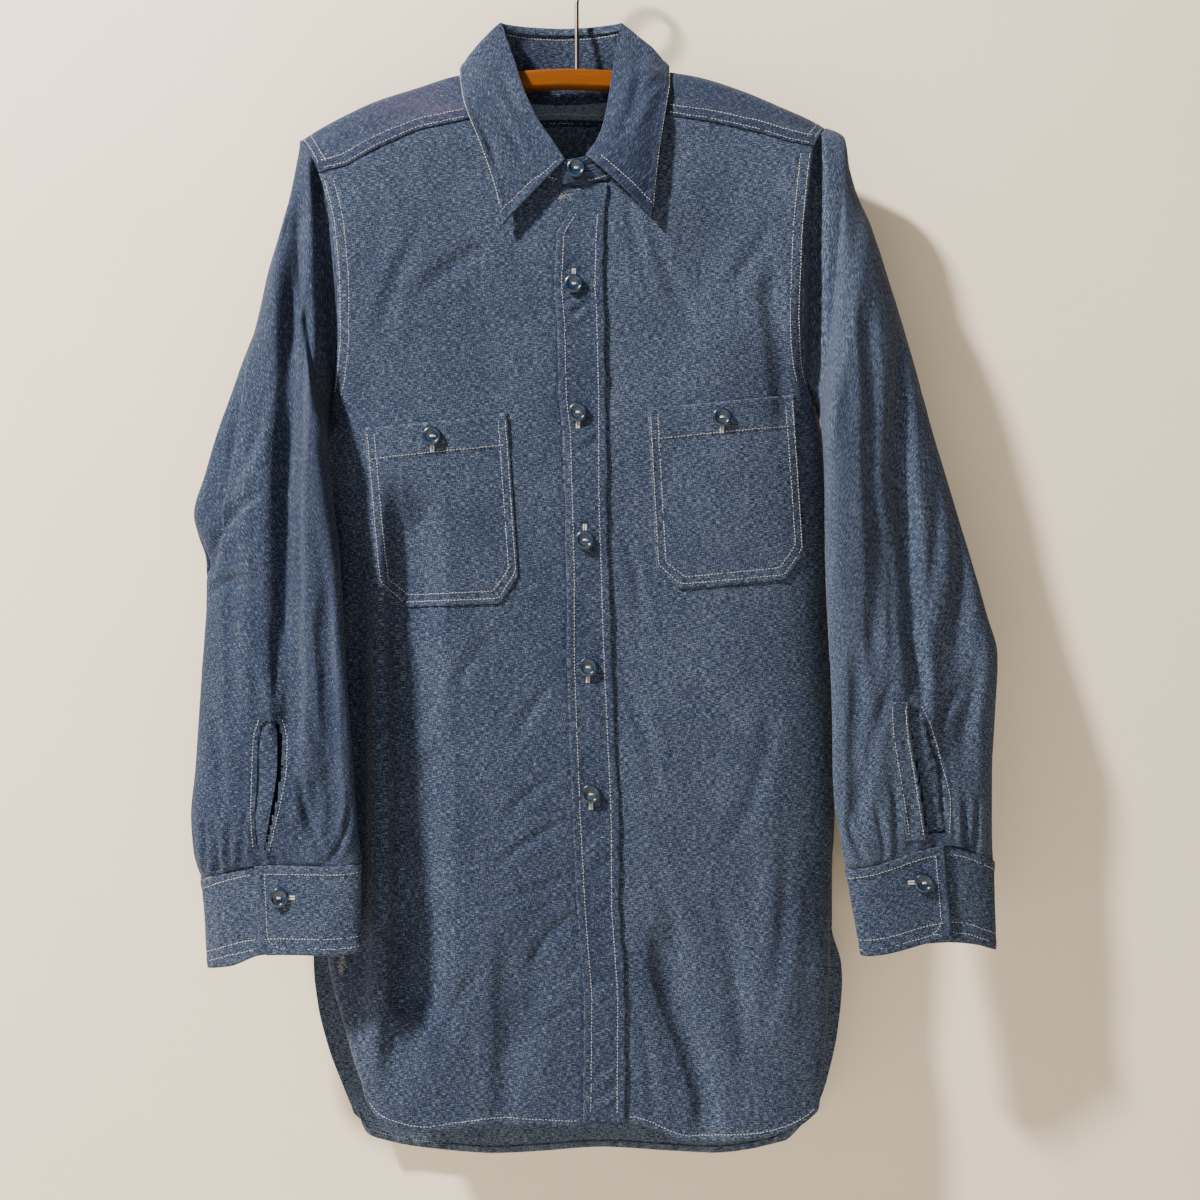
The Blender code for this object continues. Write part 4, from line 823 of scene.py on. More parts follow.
def spread(line, spacing):
    """Points at even steps along a line."""
    line = np.asarray(line, float)
    length = np.concatenate([[0], np.cumsum(np.linalg.norm(np.diff(line, axis=0), axis=1))])
    at = np.arange(0, length[-1], spacing)
    return np.stack([np.interp(at, length, line[:, axis]) for axis in range(line.shape[1])], axis=-1)


def stitch_row(rows, tree, lines, seed, pitch=STITCH_PITCH, outward=None):
    """Adds the stitches of some lines, pulled onto the cloth, to the list rows."""
    chance = np.random.default_rng(seed)
    for line in lines:
        points = spread(line, pitch)
        for start, end in zip(points[:-1], points[1:]):
            if chance.random() < SKIPPED_STITCHES:
                continue
            shift = chance.normal(0, STITCH_STRAY, 3)
            ends = []
            for part in (0.5 - 0.5 * STITCH_LENGTH / pitch, 0.5 + 0.5 * STITCH_LENGTH / pitch):
                base = start + part * (end - start) + shift
                hit, normal, _, gap = tree.find_nearest(in_metres(base))
                if hit is None or gap > STITCH_SEARCH:
                    break
                toward = Vector(outward) if outward is not None else normal
                if outward is not None and normal.dot(toward) < 0:
                    normal = -normal
                ends.append((hit, normal))
            if len(ends) == 2:
                rows.append((ends[0], ends[1], chance.uniform(0.75, 1.2)))


def frayed(rows, tree, x, down, reach, count, length, seed, spin=0.7):
    """Loose ends of thread lying on the cloth, hanging more or less down."""
    chance = np.random.default_rng(seed)
    toward = Vector((0, -1, 0))
    for _ in range(count):
        place = np.array([x, down]) + chance.normal(0, 1, 2) * reach
        heading = math.pi / 2 + chance.normal(0, spin)
        points = [place]
        for _ in range(4):
            heading += chance.normal(0, 0.6)
            points.append(points[-1] + 0.25 * length * np.array([math.cos(heading), math.sin(heading)]))
        line = np.array(points)
        laid = laid_on(tree, line[:, 0], line[:, 1], 0.15) * (MM, MM, -MM)
        for start, end in zip(laid[:-1], laid[1:]):
            rows.append(((Vector(start), toward), (Vector(end), toward), 0.42))


def sew(name, rows, finish):
    """One piece with every stitch in the list, each a thin bead of thread."""
    places = []
    faces = []
    radius = THREAD_RADIUS * MM
    for (first, first_out), (last, last_out), size in rows:
        along = last - first
        if along.length < 1e-5:
            continue
        along.normalize()
        out = (first_out + last_out).normalized()
        side = along.cross(out).normalized() * radius * size
        up = out * radius * 1.6
        start = len(places)
        rings = [first.lerp(last, part) + edge for part in (0.25, 0.75) for edge in (-side, up, side)]
        places += [first] + rings + [last]
        for a, b, c in ((0, 1, 2), (0, 2, 3), (7, 5, 4), (7, 6, 5)):
            faces.append((start + a, start + b, start + c))
        faces.append((start + 1, start + 4, start + 5, start + 2))
        faces.append((start + 2, start + 5, start + 6, start + 3))
    mesh = bpy.data.meshes.new(name)
    mesh.from_pydata([tuple(place) for place in places], [], faces)
    mesh.shade_smooth()
    mesh.materials.append(finish)
    return put_in_scene(name, mesh)


# ---------------------------------------------------------------- the shirt's pieces

def front_depth(x, down):
    """How far forward the front's outer face lies at a place of the front view."""
    middle = read(MIDDLE, "down", "x", down)
    side = np.where(x < middle, -1.0, 1.0)
    share = (x - middle) / np.abs(edge_x(side, down, FRONT) - middle)
    return body_y(x, down, share, FRONT)


def distances(grid):
    """Distance of each point from the left, right, top and bottom edges of its grid."""
    across = np.cumsum(sizes(np.diff(grid, axis=1, prepend=grid[:, :1])), axis=1)
    along = np.cumsum(sizes(np.diff(grid, axis=0, prepend=grid[:1])), axis=0)
    return {"l": across, "r": across[:, -1:] - across, "t": along, "b": along[-1:] - along}


def hem_shape(distance, along, width, seed):
    """A narrow turned hem: a raised band, puckered along its stitches."""
    raised = band(distance, width, 0.55)
    return raised + pucker(along, distance - width, 9, 7, 0.45, seed)


def tucked(grid, at, shift, axis=0):
    """Adds a row beyond one edge of the cloth that goes under its neighbour."""
    row = np.take(grid, [at], axis=axis) + np.array(shift, float)
    return np.concatenate([row, grid] if at == 0 else [grid, row], axis=axis)


def make_front(side, finish):
    """One front, from under the placket to the armhole and side edge."""
    shares = np.linspace(0.0, 1.0, 92)
    top = front_top(side, shares)
    hem = read(FRONT_HEM[side], "share", "down", shares)
    parts = np.linspace(0, 1, 350)
    down = top[None, :] + parts[:, None] * (hem - top)[None, :]
    grid = body_at_down(side * shares[None, :], down, FRONT)
    middle = read(MIDDLE, "down", "x", down)
    if side == RIGHT:
        free = placket_edge("free", down)
        reach = np.maximum(free, middle) + 9.0
        x = grid[..., 0] + (reach - middle) * (1 - smooth_step(shares[None, :] / 0.22))
    else:
        free = placket_edge("free", down) + 4.0
        x = grid[..., 0] + (free - middle) * (1 - smooth_step(shares[None, :] / 0.22))
    depth = front_depth(x, down)
    grid = np.stack([x, depth, down], axis=-1)
    if side == RIGHT:
        over = smooth_step((x - (placket_edge("free", down) - 2)) / 5)
        grid[..., 1] += 1.3 * over * smooth_step((down - 205) / 14)
    grid[..., 1] += sunk(FRONT_VALLEYS, x, down) * smooth_step((np.abs(x) - 20) / 20)
    grid = tucked(grid, 0, (0, 1.0, -3.5))
    grid = tucked(grid, -1, (side * 0.6, 2.5, 0), axis=1)
    x, down = grid[..., 0], grid[..., 2]
    away = distances(grid)
    amount = 1.5 * creased(FRONT_CREASES, x, down) + 1.0 * rumple(x, down, 40 + side)
    quiet = smooth_step(away["t"] / 12) * smooth_step(away["r"] / 8)
    amount = 0.15 * amount + 0.85 * amount * quiet
    amount = amount + 1.6 * quiet * dimples(x, 0.55 * down, 62, 11 + side)
    amount = amount + hem_shape(away["b"], x, HEM_WIDTH, 21 + side)
    amount = amount + pucker(down, away["r"] - 6, 11, 8, 0.5, 31 + side)
    amount = amount + pucker(x, away["t"] - 4, 12, 6, 0.35, 35 + side)
    wear = np.maximum(0.5 * fading(away["b"], 4), 0.25 * fading(away["r"] - 3, 4))
    return cloth_piece("shirt_front_" + SIDE_NAMES[side], grid, (0, -1, 0), finish, amount,
                       lips="bl" if side == RIGHT else "b", uv=pair(x, down), wear=wear)


def make_back(finish):
    """The back below the yoke, with its long rounded tail."""
    shares = np.linspace(-1, 1, 186)
    seam_root = yoke_back_root(shares)
    top = body_at_root(shares, seam_root)[..., 2]
    hem = read(BACK_HEM, "share", "down", shares)
    parts = np.linspace(0, 1, 355)
    down = top[None, :] + parts[:, None] * (hem - top)[None, :]
    grid = body_at_down(shares[None, :], down, BACK)
    grid = tucked(grid, 0, (0, -1.0, -3.5))
    x, down = grid[..., 0], grid[..., 2]
    away = distances(grid)
    amount = creased(BACK_CREASES, x, down) + 0.95 * rumple(x, down, 60)
    amount = amount + 1.8 * dimples(x, 0.5 * down, 66, 61)
    amount = amount * smooth_step(away["t"] / 14) * smooth_step(away["r"] / 8) * smooth_step(away["l"] / 8)
    amount = amount + hem_shape(away["b"], x, HEM_WIDTH, 62)
    amount = amount + pucker(x, away["t"], 9, 10, 0.5, 63)
    wear = np.maximum(0.8 * fading(away["b"], 5), 0.3 * fading(away["t"], 4))
    return cloth_piece("shirt_back", grid, (0, 1, 0), finish, amount, lips="b",
                       uv=pair(x, down), wear=wear)


def make_yoke(finish):
    """Lines run from the front seams and the neck seam over the ridge to the seam on the back."""
    inner_shares = {}
    inner_roots = {}
    steps = 30
    for side in (RIGHT, LEFT):
        shares = np.linspace(1.0, YOKE_SEAM[side]["share"][0], steps + 1)
        down = front_top(side, shares)
        inner_shares[side] = side * shares
        inner_roots[side] = root_of(side * shares, down)
    rows = np.arange(len(NECK["share"]), dtype=float)
    stations = np.linspace(0, rows[-1], 130)
    neck_share = between(rows, NECK["share"], stations)
    neck_root = between(rows, NECK["root"], stations)
    held = neck_root > NECK_CORNER_ROOT
    shares = np.concatenate([inner_shares[RIGHT], neck_share[held], inner_shares[LEFT][::-1]])
    roots = np.concatenate([inner_roots[RIGHT], neck_root[held], inner_roots[LEFT][::-1]])
    last = len(shares) - 1
    outer = np.interp(np.arange(last + 1), (0, steps, last - steps, last),
                      (-1.0,) + YOKE_NECK_SPREAD + (1.0,))
    outer_roots = yoke_back_root(outer)
    parts = np.linspace(0, 1, 90)[:, None]
    share = shares + parts * (outer - shares)
    root = roots + parts * (outer_roots - roots)
    grid = body_at_root(share, root)
    away = distances(grid)
    x, down = grid[..., 0], grid[..., 2]
    flat = np.cumsum(sizes(np.diff(grid, axis=0, prepend=grid[:1])), axis=0)
    amount = 0.5 * rumple(x, flat, 70) + 0.7 * dimples(x, flat, 44, 71)
    amount = amount * smooth_step(away["t"] / 10) * smooth_step(away["b"] / 10)
    on_ridge = fading(root, 2.2)
    amount = amount * (1 - 0.7 * on_ridge)
    hems = band(away["t"], 10.5, 0.4) + band(away["t"], 14, 1.3, 9) * (root < 0) + band(away["b"], 9, 0.4)
    amount = amount + hems
    amount = amount + pucker(x, away["t"] - 8, 8, 6, 0.35, 72)
    tint = np.exp(-((x + 120) / 46) ** 2 - ((down - 146) / 16) ** 2) * (0.6 + 0.4 * dimples(x, flat, 12, 73))
    tint = np.where(root < 0, np.clip(tint, 0, 1), 0.0)
    wear = np.maximum(0.25 * fading(away["t"], 3), 0.05 * on_ridge)
    return cloth_piece("shirt_yoke", grid, (0, 0, -1), finish, amount, lips="tb", lip=1.0,
                       uv=pair(x, flat), wear=wear, tint=tint)


def neck_curves(count):
    """The neck seam and the collar's lines at even steps, with the stations of the neck table."""
    stations = np.linspace(1.0, len(NECK["share"]) - 2.0, count)
    rows = np.arange(len(NECK["share"]), dtype=float)
    share = between(rows, NECK["share"], stations)
    root = between(rows, NECK["root"], stations)
    lift = between(rows, NECK["lift"], stations)
    foot = body_at_root(share, root)
    foot[:, 1] -= lift
    leaf_rows = np.arange(len(LEAF["bow"]), dtype=float)
    fold = np.stack([LEAF["fold_x"], LEAF["fold_y"], LEAF["fold_down"]], axis=-1)
    edge = np.stack([LEAF["edge_x"], LEAF["edge_y"], LEAF["edge_down"]], axis=-1)
    leaf = stations - 1.0
    return (foot,) + tuple(between(leaf_rows, line, leaf) for line in (fold, edge, LEAF["bow"]))


def from_neck(grid):
    """Level directions that point away from the neck's middle."""
    away = grid - np.array([NECK_AXIS[0], NECK_AXIS[1], 0.0])
    away[..., 2] = 0.0
    return away / np.linalg.norm(away, axis=-1, keepdims=True)


def lengthened(line, first, last):
    """The line run on at both ends, in even steps, to a first and a last point."""
    parts = (0.25, 0.5, 0.75, 1.0)
    before = [line[:1] + part * (first - line[0]) for part in parts[::-1]]
    after = [line[-1:] + part * (last - line[-1]) for part in parts]
    return np.concatenate(before + [line] + after)


def make_stand(finish):
    """The neckband, from its under end round the back to its buttoned end."""
    foot, fold, edge, _ = neck_curves(230)
    under = moved_inside(fold, edge - fold, COLLAR_PLY + FOLD_GAP)
    top = lengthened(under, *np.array(STAND_ENDS))
    seam = neck_seam()
    foot_ends = body_at_root(seam["share"][[0, -1]], seam["root"][[0, -1]])
    foot_ends[:, 1] -= seam["lift"][[0, -1]]
    foot = lengthened(foot, *foot_ends)
    rise = directions(top - foot)
    foot = foot + 0.6 * rise
    top = top - 0.4 * rise
    parts = np.linspace(0, 1, 22)[:, None, None]
    grid = foot + parts * (top - foot)
    away = distances(grid)
    amount = 0.35 * rumple(away["l"], away["t"], 81) + 0.35 * dimples(away["l"], away["t"], 20, 82)
    wear = 0.15 * fading(away["b"], 4)
    return cloth_piece("shirt_stand", grid, from_neck(grid), finish, amount, lips="lrtb", wear=wear,
                       uv=pair(away["l"], away["t"]))


def make_leaf(finish):
    """The collar's outer leaf, turned in over the stand along its fold."""
    _, fold, edge, bow = neck_curves(250)
    across = directions(edge - fold)
    out = from_neck(fold[None])[0]
    turned_in = [fold - 0.7 * out + 2.6 * across - 1.9 * out, fold - 1.9 * out + 0.9 * across,
                 fold - 0.75 * out - 0.35 * across]
    parts = np.linspace(0, 1, 44)[:, None]
    sheet = fold + parts[..., None] * (edge - fold)
    sheet = sheet + (bow * np.sin(np.pi * parts))[..., None] * from_neck(sheet)
    grid = np.concatenate([np.array(turned_in), sheet])
    away = distances(grid)
    x, down = grid[..., 0], grid[..., 2]
    length = away["l"]
    rim = np.minimum(np.minimum(away["b"], away["l"]), away["r"])
    amount = 1.8 * creased(COLLAR_CREASES, x, down) * (grid[..., 1] < 2)
    amount = amount + 0.7 * rumple(length, away["t"], 91) + 0.7 * dimples(length, away["t"], 26, 92)
    amount = amount * smooth_step(away["t"] / 12) * smooth_step(away["b"] / 3)
    hump = np.sin(np.pi * np.clip(away["t"] / (away["t"][-1:] + 1e-6), 0, 1)) * smooth_step((x - 8) / 12)
    amount = amount + 4.5 * hump * smooth_step((-8 - grid[..., 1]) / 8)
    amount = amount + band(rim, 5.2, 0.5) * smooth_step(away["t"] / 12)
    amount = amount + pucker(length, rim - 5, 7, 4, 0.25, 93) * smooth_step(away["t"] / 12)
    worn = fading(away["t"] - 6, 3)
    wear = np.maximum(0.35 * fading(rim, 2.2), 0.1 * worn)
    # painted shade: the wear value is pulled below zero over the leaf's right half, darkening the cloth where
    # that side of the collar lies in shade
    wear = wear - 0.85 * smooth_step((x - 6) / 14) * smooth_step((-4 - grid[..., 1]) / 8)
    faces_out = from_neck(grid)
    return cloth_piece("shirt_collar", grid, faces_out, finish, amount, lips="lrb", lip=COLLAR_PLY, wear=wear,
                       uv=pair(length, away["t"]))


def make_placket(tree, finish):
    """The long strip that the buttons are on, puckered between its two rows of stitches."""
    down = np.arange(212.0, PLACKET_END, 2.0)
    free = placket_edge("free", down)
    free = free + 0.35 * uneven(down, 17, 107)
    sewn = placket_edge("sewn", down) + 0.6 + 0.9 * uneven(down, 11, 108)
    parts = np.linspace(0, 1, 20)
    x = free[:, None] + parts[None, :] * (sewn - free)[:, None]
    heights = np.repeat(down[:, None], len(parts), axis=1)
    grid = laid_on(tree, x, heights, 1.3 + 0.5 * parts[None, :])
    grid[..., 1] = np.minimum(grid[..., 1], front_depth(x, heights) - 1.2)
    away = distances(grid)
    rim = np.minimum(away["l"], away["r"])
    inner = np.minimum(away["l"] - 6, away["r"] - 6)
    amount = 0.32 * band(rim, 6.0, 1.0)
    ripple = 1.5 * uneven(heights + 0.7 * x, 6.5, 101) * uneven(heights, 31, 102)
    cross = uneven(heights - 0.9 * x, 4.6, 103) * np.clip(uneven(heights, 44, 104) + 0.25, 0, 1)
    amount = amount + (0.9 * ripple + 0.9 * cross) * smooth_step(inner / 5)
    amount = amount + pucker(heights, inner, 6, 5, 0.35, 105) + 0.4 * rumple(x, heights, 106)
    wear = np.maximum(0.4 * fading(away["l"], 2.4), 0.3 * fading(away["r"], 2))
    return cloth_piece("shirt_placket", grid, (0, -1, 0), finish, amount, lips="lrb", lip=1.0,
                       uv=pair(x, heights), wear=wear)


def make_pocket(side, tree, finish):
    """A chest pocket with cut lower corners and a deep top hem."""
    top_left, top_right, low_left, low_right = (np.array(corner) for corner in POCKET_CORNERS[side])
    across = np.linspace(0, 1, 50)
    reach = np.interp(across, POCKET_REACH["across"], POCKET_REACH["reach"])
    parts = np.linspace(0, 1, 62)[:, None, None] * reach[None, :, None]
    top = top_left + across[None, :, None] * (top_right - top_left)
    low = low_left + across[None, :, None] * (low_right - low_left)
    place = top + parts * (low - top)
    x, down = place[..., 0], place[..., 1]
    sag = 1.2 * np.sin(np.pi * across) * np.exp(-parts[..., 0] * 3)
    down = down + sag
    grid = laid_on(tree, x, down, 0.9)
    away = distances(grid)
    sides = np.minimum(np.minimum(away["l"], away["r"]), away["b"])
    amount = 0.35 * band(sides, 2.4, 1.0) + band(away["t"], 24.6 + 0.5 * uneven(away["l"], 5, 110), 0.75, 0.7)
    amount = amount + 0.5 * rumple(x, down, 111 + side) * smooth_step(sides / 6)
    amount = amount + pucker(away["t"], sides - 6, 8, 8, 0.4, 113 + side)
    amount = amount + 0.5 * dimples(x, down, 30, 115 + side) * smooth_step(sides / 12)
    wear = np.maximum(0.35 * fading(away["t"], 2.4), 0.35 * fading(sides, 2))
    return cloth_piece("shirt_pocket_" + SIDE_NAMES[side], grid, (0, -1, 0), finish, amount,
                       lips="lrtb", lip=1.0, uv=pair(x, down), wear=wear)


def slit_gap(side):
    """True inside the open slit of a sleeve, between the lap and the underlap."""
    table = SLIT[side]

    def inside(x, y, down):
        lap = np.interp(down, table["down"], table["lap"])
        under = np.interp(down, table["down"], table["under"])
        low = np.minimum(lap, under)
        high = np.maximum(lap, under)
        facing_us = y < (-30 if side == RIGHT else -22)
        between_edges = (x > low + 1.5) & (x < high - 1.5)
        between_ends = (down > table["down"][0] + 4) & (down < table["down"][-1] - 3)
        return facing_us & between_edges & between_ends
    return inside


def make_sleeve(side, finish):
    """A hanging sleeve, folded flat, from the armhole to the gathers at the cuff."""
    around = np.linspace(0, 1, 173)[:-1]
    sections = len(SLEEVE[side]["out_x"])
    row = np.concatenate([np.linspace(0, 1, 16)[:-1], np.linspace(1, sections, 250)])
    grid = sleeve_surface(side, around, row)
    loose = smooth_step((0.25 - np.abs(around - 0.25)) * 14)
    grid[..., 1] += sunk(SLEEVE_VALLEYS[side], grid[..., 0], grid[..., 2]) * loose
    if side == RIGHT:
        # the underarm leans on the shirt's side, so that no gap shows there
        leaning = fading(grid[..., 2] - 399, 16)
        grid[..., 0] += 3.5 * leaning * smooth_step((grid[..., 0] + 206) / 10)
        along, across, run = beside_line(grid[..., 0], grid[..., 2], *ELBOW_EDGE)
        behind = smooth_step(-across / 2.6) * smooth_step(along / 60) * smooth_step((run + 16 - along) / 14)
        behind = behind * (1 - 0.85 * smooth_step(-across / 34))
        grid[:, around <= 0.5, 1] += (10.0 * behind)[:, around <= 0.5]
    inward = np.where(around <= 0.5, 1.0, -1.0)
    tuck = grid[:1] + np.stack([np.full_like(around, -side * 3.0), inward, np.zeros_like(around)], axis=-1)
    grid = np.concatenate([tuck, grid])
    x, down = grid[..., 0], grid[..., 2]
    length = np.cumsum(sizes(np.diff(grid, axis=0, prepend=grid[:1])), axis=0)
    left = length[-1:] - length
    width = sizes(np.diff(grid, axis=1, append=grid[:, :1]))
    girth = np.cumsum(width, axis=1)
    ring = 2 * np.pi * around[None, :] * np.ones_like(x)
    in_front = smooth_step((0.5 - np.abs(around - 0.25) * 2) * 8)[None, :]
    amount = 1.7 * creased(SLEEVE_CREASES[side], x, down) * in_front
    amount = amount + 1.5 * creased(SLEEVE_BACK_CREASES[side], x, down) * (1 - in_front)
    round_x = 58 * np.cos(ring)
    round_y = 58 * np.sin(ring)
    amount = amount + 0.7 * rumple(round_x + 0.4 * round_y, down + 0.3 * round_y, 121 + side)
    amount = amount + 1.3 * dimples(round_x, 0.5 * down + round_y, 48, 123 + side)
    quiet = smooth_step(length / 10) * (0.25 + 0.75 * smooth_step(left / 10))
    amount = amount * quiet
    gather = uneven(girth, 6.5, 125 + side) * np.exp(-left / 34) * smooth_step(left / 3)
    amount = amount + 1.9 * gather
    amount = amount + pucker(girth, length - 3, 11, 9, 0.6, 127 + side)
    wear = 0.12 * fading(length, 5)
    away = grid - grid.mean(axis=1, keepdims=True)
    even_u = around[None, :] * girth[:, -1].mean() * np.ones_like(girth)
    even_v = length.mean(axis=1)[:, None] * np.ones_like(girth)
    return cloth_piece("shirt_sleeve_" + SIDE_NAMES[side], grid, away, finish, amount, closed=True,
                       uv=pair(even_u, even_v), wear=wear)


def cut_slit(sleeve, side):
    """Opens the sleeve between the lap and the underlap."""
    inside = slit_gap(side)
    mesh = bmesh.new()
    mesh.from_mesh(sleeve.data)
    gone = []
    for face in mesh.faces:
        middle = face.calc_center_median() / MM
        if face.normal.y < 0 and inside(middle.x, middle.y, -middle.z):
            gone.append(face)
    bmesh.ops.delete(mesh, geom=gone, context="FACES")
    mesh.to_mesh(sleeve.data)
    mesh.free()


def make_cuff(side, finish):
    """A cuff that laps over itself under its button."""
    around = np.linspace(CUFF_LAP, 1 + CUFF_LAP + CUFF_UNDERLAP, 230)
    tuck = np.clip((around - CUFF_TUCK_START) / CUFF_TUCK_LENGTH, 0.0, 1.0) * 2.0
    upper_row = rows_of(SLEEVE[side])[-1]
    lower_row = rows_of(CUFF_END[side])[0]
    upper = np.array([section(upper_row, a, t) for a, t in zip(around, tuck)])
    lower = np.array([section(lower_row, a, t) for a, t in zip(around, tuck)])
    upper[:, 2] -= arch(around, CUFF_ARCH[side][0]) - 0.5
    hidden = (around - 1) / CUFF_LAP
    under_share = 0.8 if side == RIGHT else 0.1
    under = smooth_step((around - 0.99) / 0.03) * under_share * smooth_step((1 - hidden) * 2)
    lower[:, 2] -= arch(around, CUFF_ARCH[side][1]) * (1 - under)
    from_edge = np.concatenate([[0], np.cumsum(np.linalg.norm(np.diff(lower, axis=0), axis=-1))])
    short = np.clip(9.0 - from_edge, 0, 9.0)
    lower[:, 2] -= 9.0 - np.sqrt(81.0 - short ** 2) + 4.0 * smooth_step((hidden - 0.97) * 12)
    parts = np.linspace(0, 1, 34)[:, None, None]
    grid = upper + parts * (lower - upper)
    away = distances(grid)
    rim = np.minimum(np.minimum(away["t"], away["b"]), away["l"])
    length = away["l"]
    amount = band(rim, 6.5, 0.45) + 0.4 * rumple(length, away["t"], 131 + side) + 1.1 * fading(away["l"], 11)
    amount = amount + 0.6 * dimples(length, away["t"], 26, 133 + side) * smooth_step(rim / 6)
    amount = amount + pucker(length, away["t"], 7, 8, 0.4, 135 + side)
    wear = np.maximum(0.5 * fading(away["b"], 3), 0.3 * fading(rim, 2.4))
    faces_out = grid - grid.mean(axis=1, keepdims=True)
    return cloth_piece("shirt_cuff_" + SIDE_NAMES[side], grid, faces_out, finish, amount, lips="lrtb",
                       uv=pair(length, away["t"]), wear=wear)


def make_slit_strips(side, tree, finish):
    """The underlap and the placket strip of a sleeve's slit."""
    table = SLIT[side]
    down = np.linspace(table["down"][0], table["down"][-1] + 1.5, 60)
    lap = read(table, "down", "lap", down)
    under = read(table, "down", "under", down)
    parts = np.linspace(0, 1, 12)[None, :]
    lap_x = lap[:, None] - side * parts * (7.0 if side == RIGHT else 15.0)
    under_x = under[:, None] + parts * (lap - under)[:, None] * (0.74 if side == RIGHT else 0.86)
    heights = np.repeat(down[:, None], 12, axis=1)
    made = []
    under_lift = -1.3 if side == RIGHT else -2.8
    lap_lift = 1.1 - (0.95 if side == RIGHT else 0.3) * parts
    for name, x, lift in (("underlap", under_x, under_lift), ("lap", lap_x, lap_lift)):
        grid = laid_on(tree, x, heights, lift)
        away = distances(grid)
        rim = away["l"]
        amount = 0.3 * band(rim, 2.5, 1.0) + pucker(heights, rim - 2, 6, 6, 0.5, 141 + side)
        amount = amount + 0.45 * uneven(heights + 0.8 * x, 5, 143 + side) * (1 if name == "underlap" else 0.5)
        wear = 0.35 * fading(rim, 2)
        full_name = "shirt_sleeve_%s_%s" % (name, SIDE_NAMES[side])
        made.append(cloth_piece(full_name, grid, (0, -1, 0), finish, amount,
                                lips="l" if side == RIGHT else "lrt", lip=0.8, uv=pair(x, heights),
                                wear=wear))
    return made


# ---------------------------------------------------------------- buttons and hanger

def select_where(item, test, kind="FACE"):
    """Selects the faces or vertices of the piece in edit mode that pass the test."""
    mesh = bmesh.from_edit_mesh(item.data)
    bpy.ops.mesh.select_all(action="DESELECT")
    bpy.ops.mesh.select_mode(type=kind)
    parts = mesh.faces if kind == "FACE" else mesh.verts
    for part in parts:
        part.select_set(bool(test(part)))
    mesh.select_flush_mode()
    bmesh.update_edit_mesh(item.data)


def soften_edges(item, width, steps, angle):
    """Rounds the edges of the chosen piece that turn by more than the angle, and smooths its faces."""
    soften = item.modifiers.new("soft edges", "BEVEL")
    soften.width = width * MM
    soften.segments = steps
    soften.limit_method = "ANGLE"
    soften.angle_limit = math.radians(angle)
    bpy.ops.object.modifier_apply(modifier="soft edges")
    bpy.ops.object.shade_smooth()


def make_button_shape():
    """A turned fish-eye button with a long hollow for the thread, facing the viewer."""
    bpy.ops.object.select_all(action="DESELECT")
    bpy.ops.mesh.primitive_cylinder_add(vertices=48, radius=BUTTON_RADIUS * MM, depth=2.4 * MM,
                                        location=(0, 0, 1.2 * MM))
    button = bpy.context.object
    bpy.ops.object.mode_set(mode="EDIT")
    bpy.ops.mesh.select_all(action="SELECT")
    select_where(button, lambda face: face.normal.z > 0.9 and len(face.verts) > 8)
    for inset, sink in ((0.45, 0.25), (0.9, 0.35), (0.7, -0.15), (0.55, -0.75), (1.1, -0.12), (0.7, -0.05)):
        bpy.ops.mesh.inset(thickness=inset * MM)
        bpy.ops.transform.translate(value=(0, 0, sink * MM))
    bpy.ops.transform.resize(value=(1.0, 0.42, 1.0), center_override=(0, 0, 0))
    bpy.ops.mesh.inset(thickness=0.25 * MM)
    bpy.ops.transform.translate(value=(0, 0, -0.5 * MM))
    bpy.ops.mesh.select_all(action="SELECT")
    bpy.ops.transform.rotate(value=math.radians(90), orient_axis="X", center_override=(0, 0, 0))
    bpy.ops.object.mode_set(mode="OBJECT")
    bpy.ops.object.transform_apply(location=True, rotation=True, scale=True)
    front = min(vertex.co.y for vertex in button.data.vertices)
    back = max(vertex.co.y for vertex in button.data.vertices)
    if abs(front) < abs(back):
        for vertex in button.data.vertices:
            vertex.co.y = -vertex.co.y
        button.data.flip_normals()
    soften_edges(button, 0.28, 3, 28)
    return button


def place_button(shape, name, x, down, seat, lean, finish):
    """A copy of the button, leaning a little, with its foot at the seat."""
    mesh = shape.data.copy()
    mesh.name = name
    turn = Matrix.Rotation(math.radians(lean), 4, "Y") @ Matrix.Rotation(math.radians(0.35 * lean), 4, "X")
    mesh.transform(Matrix.Translation((x * MM, seat * MM, -down * MM)) @ turn)
    mesh.materials.clear()
    mesh.materials.append(finish)
    return put_in_scene(name, mesh)


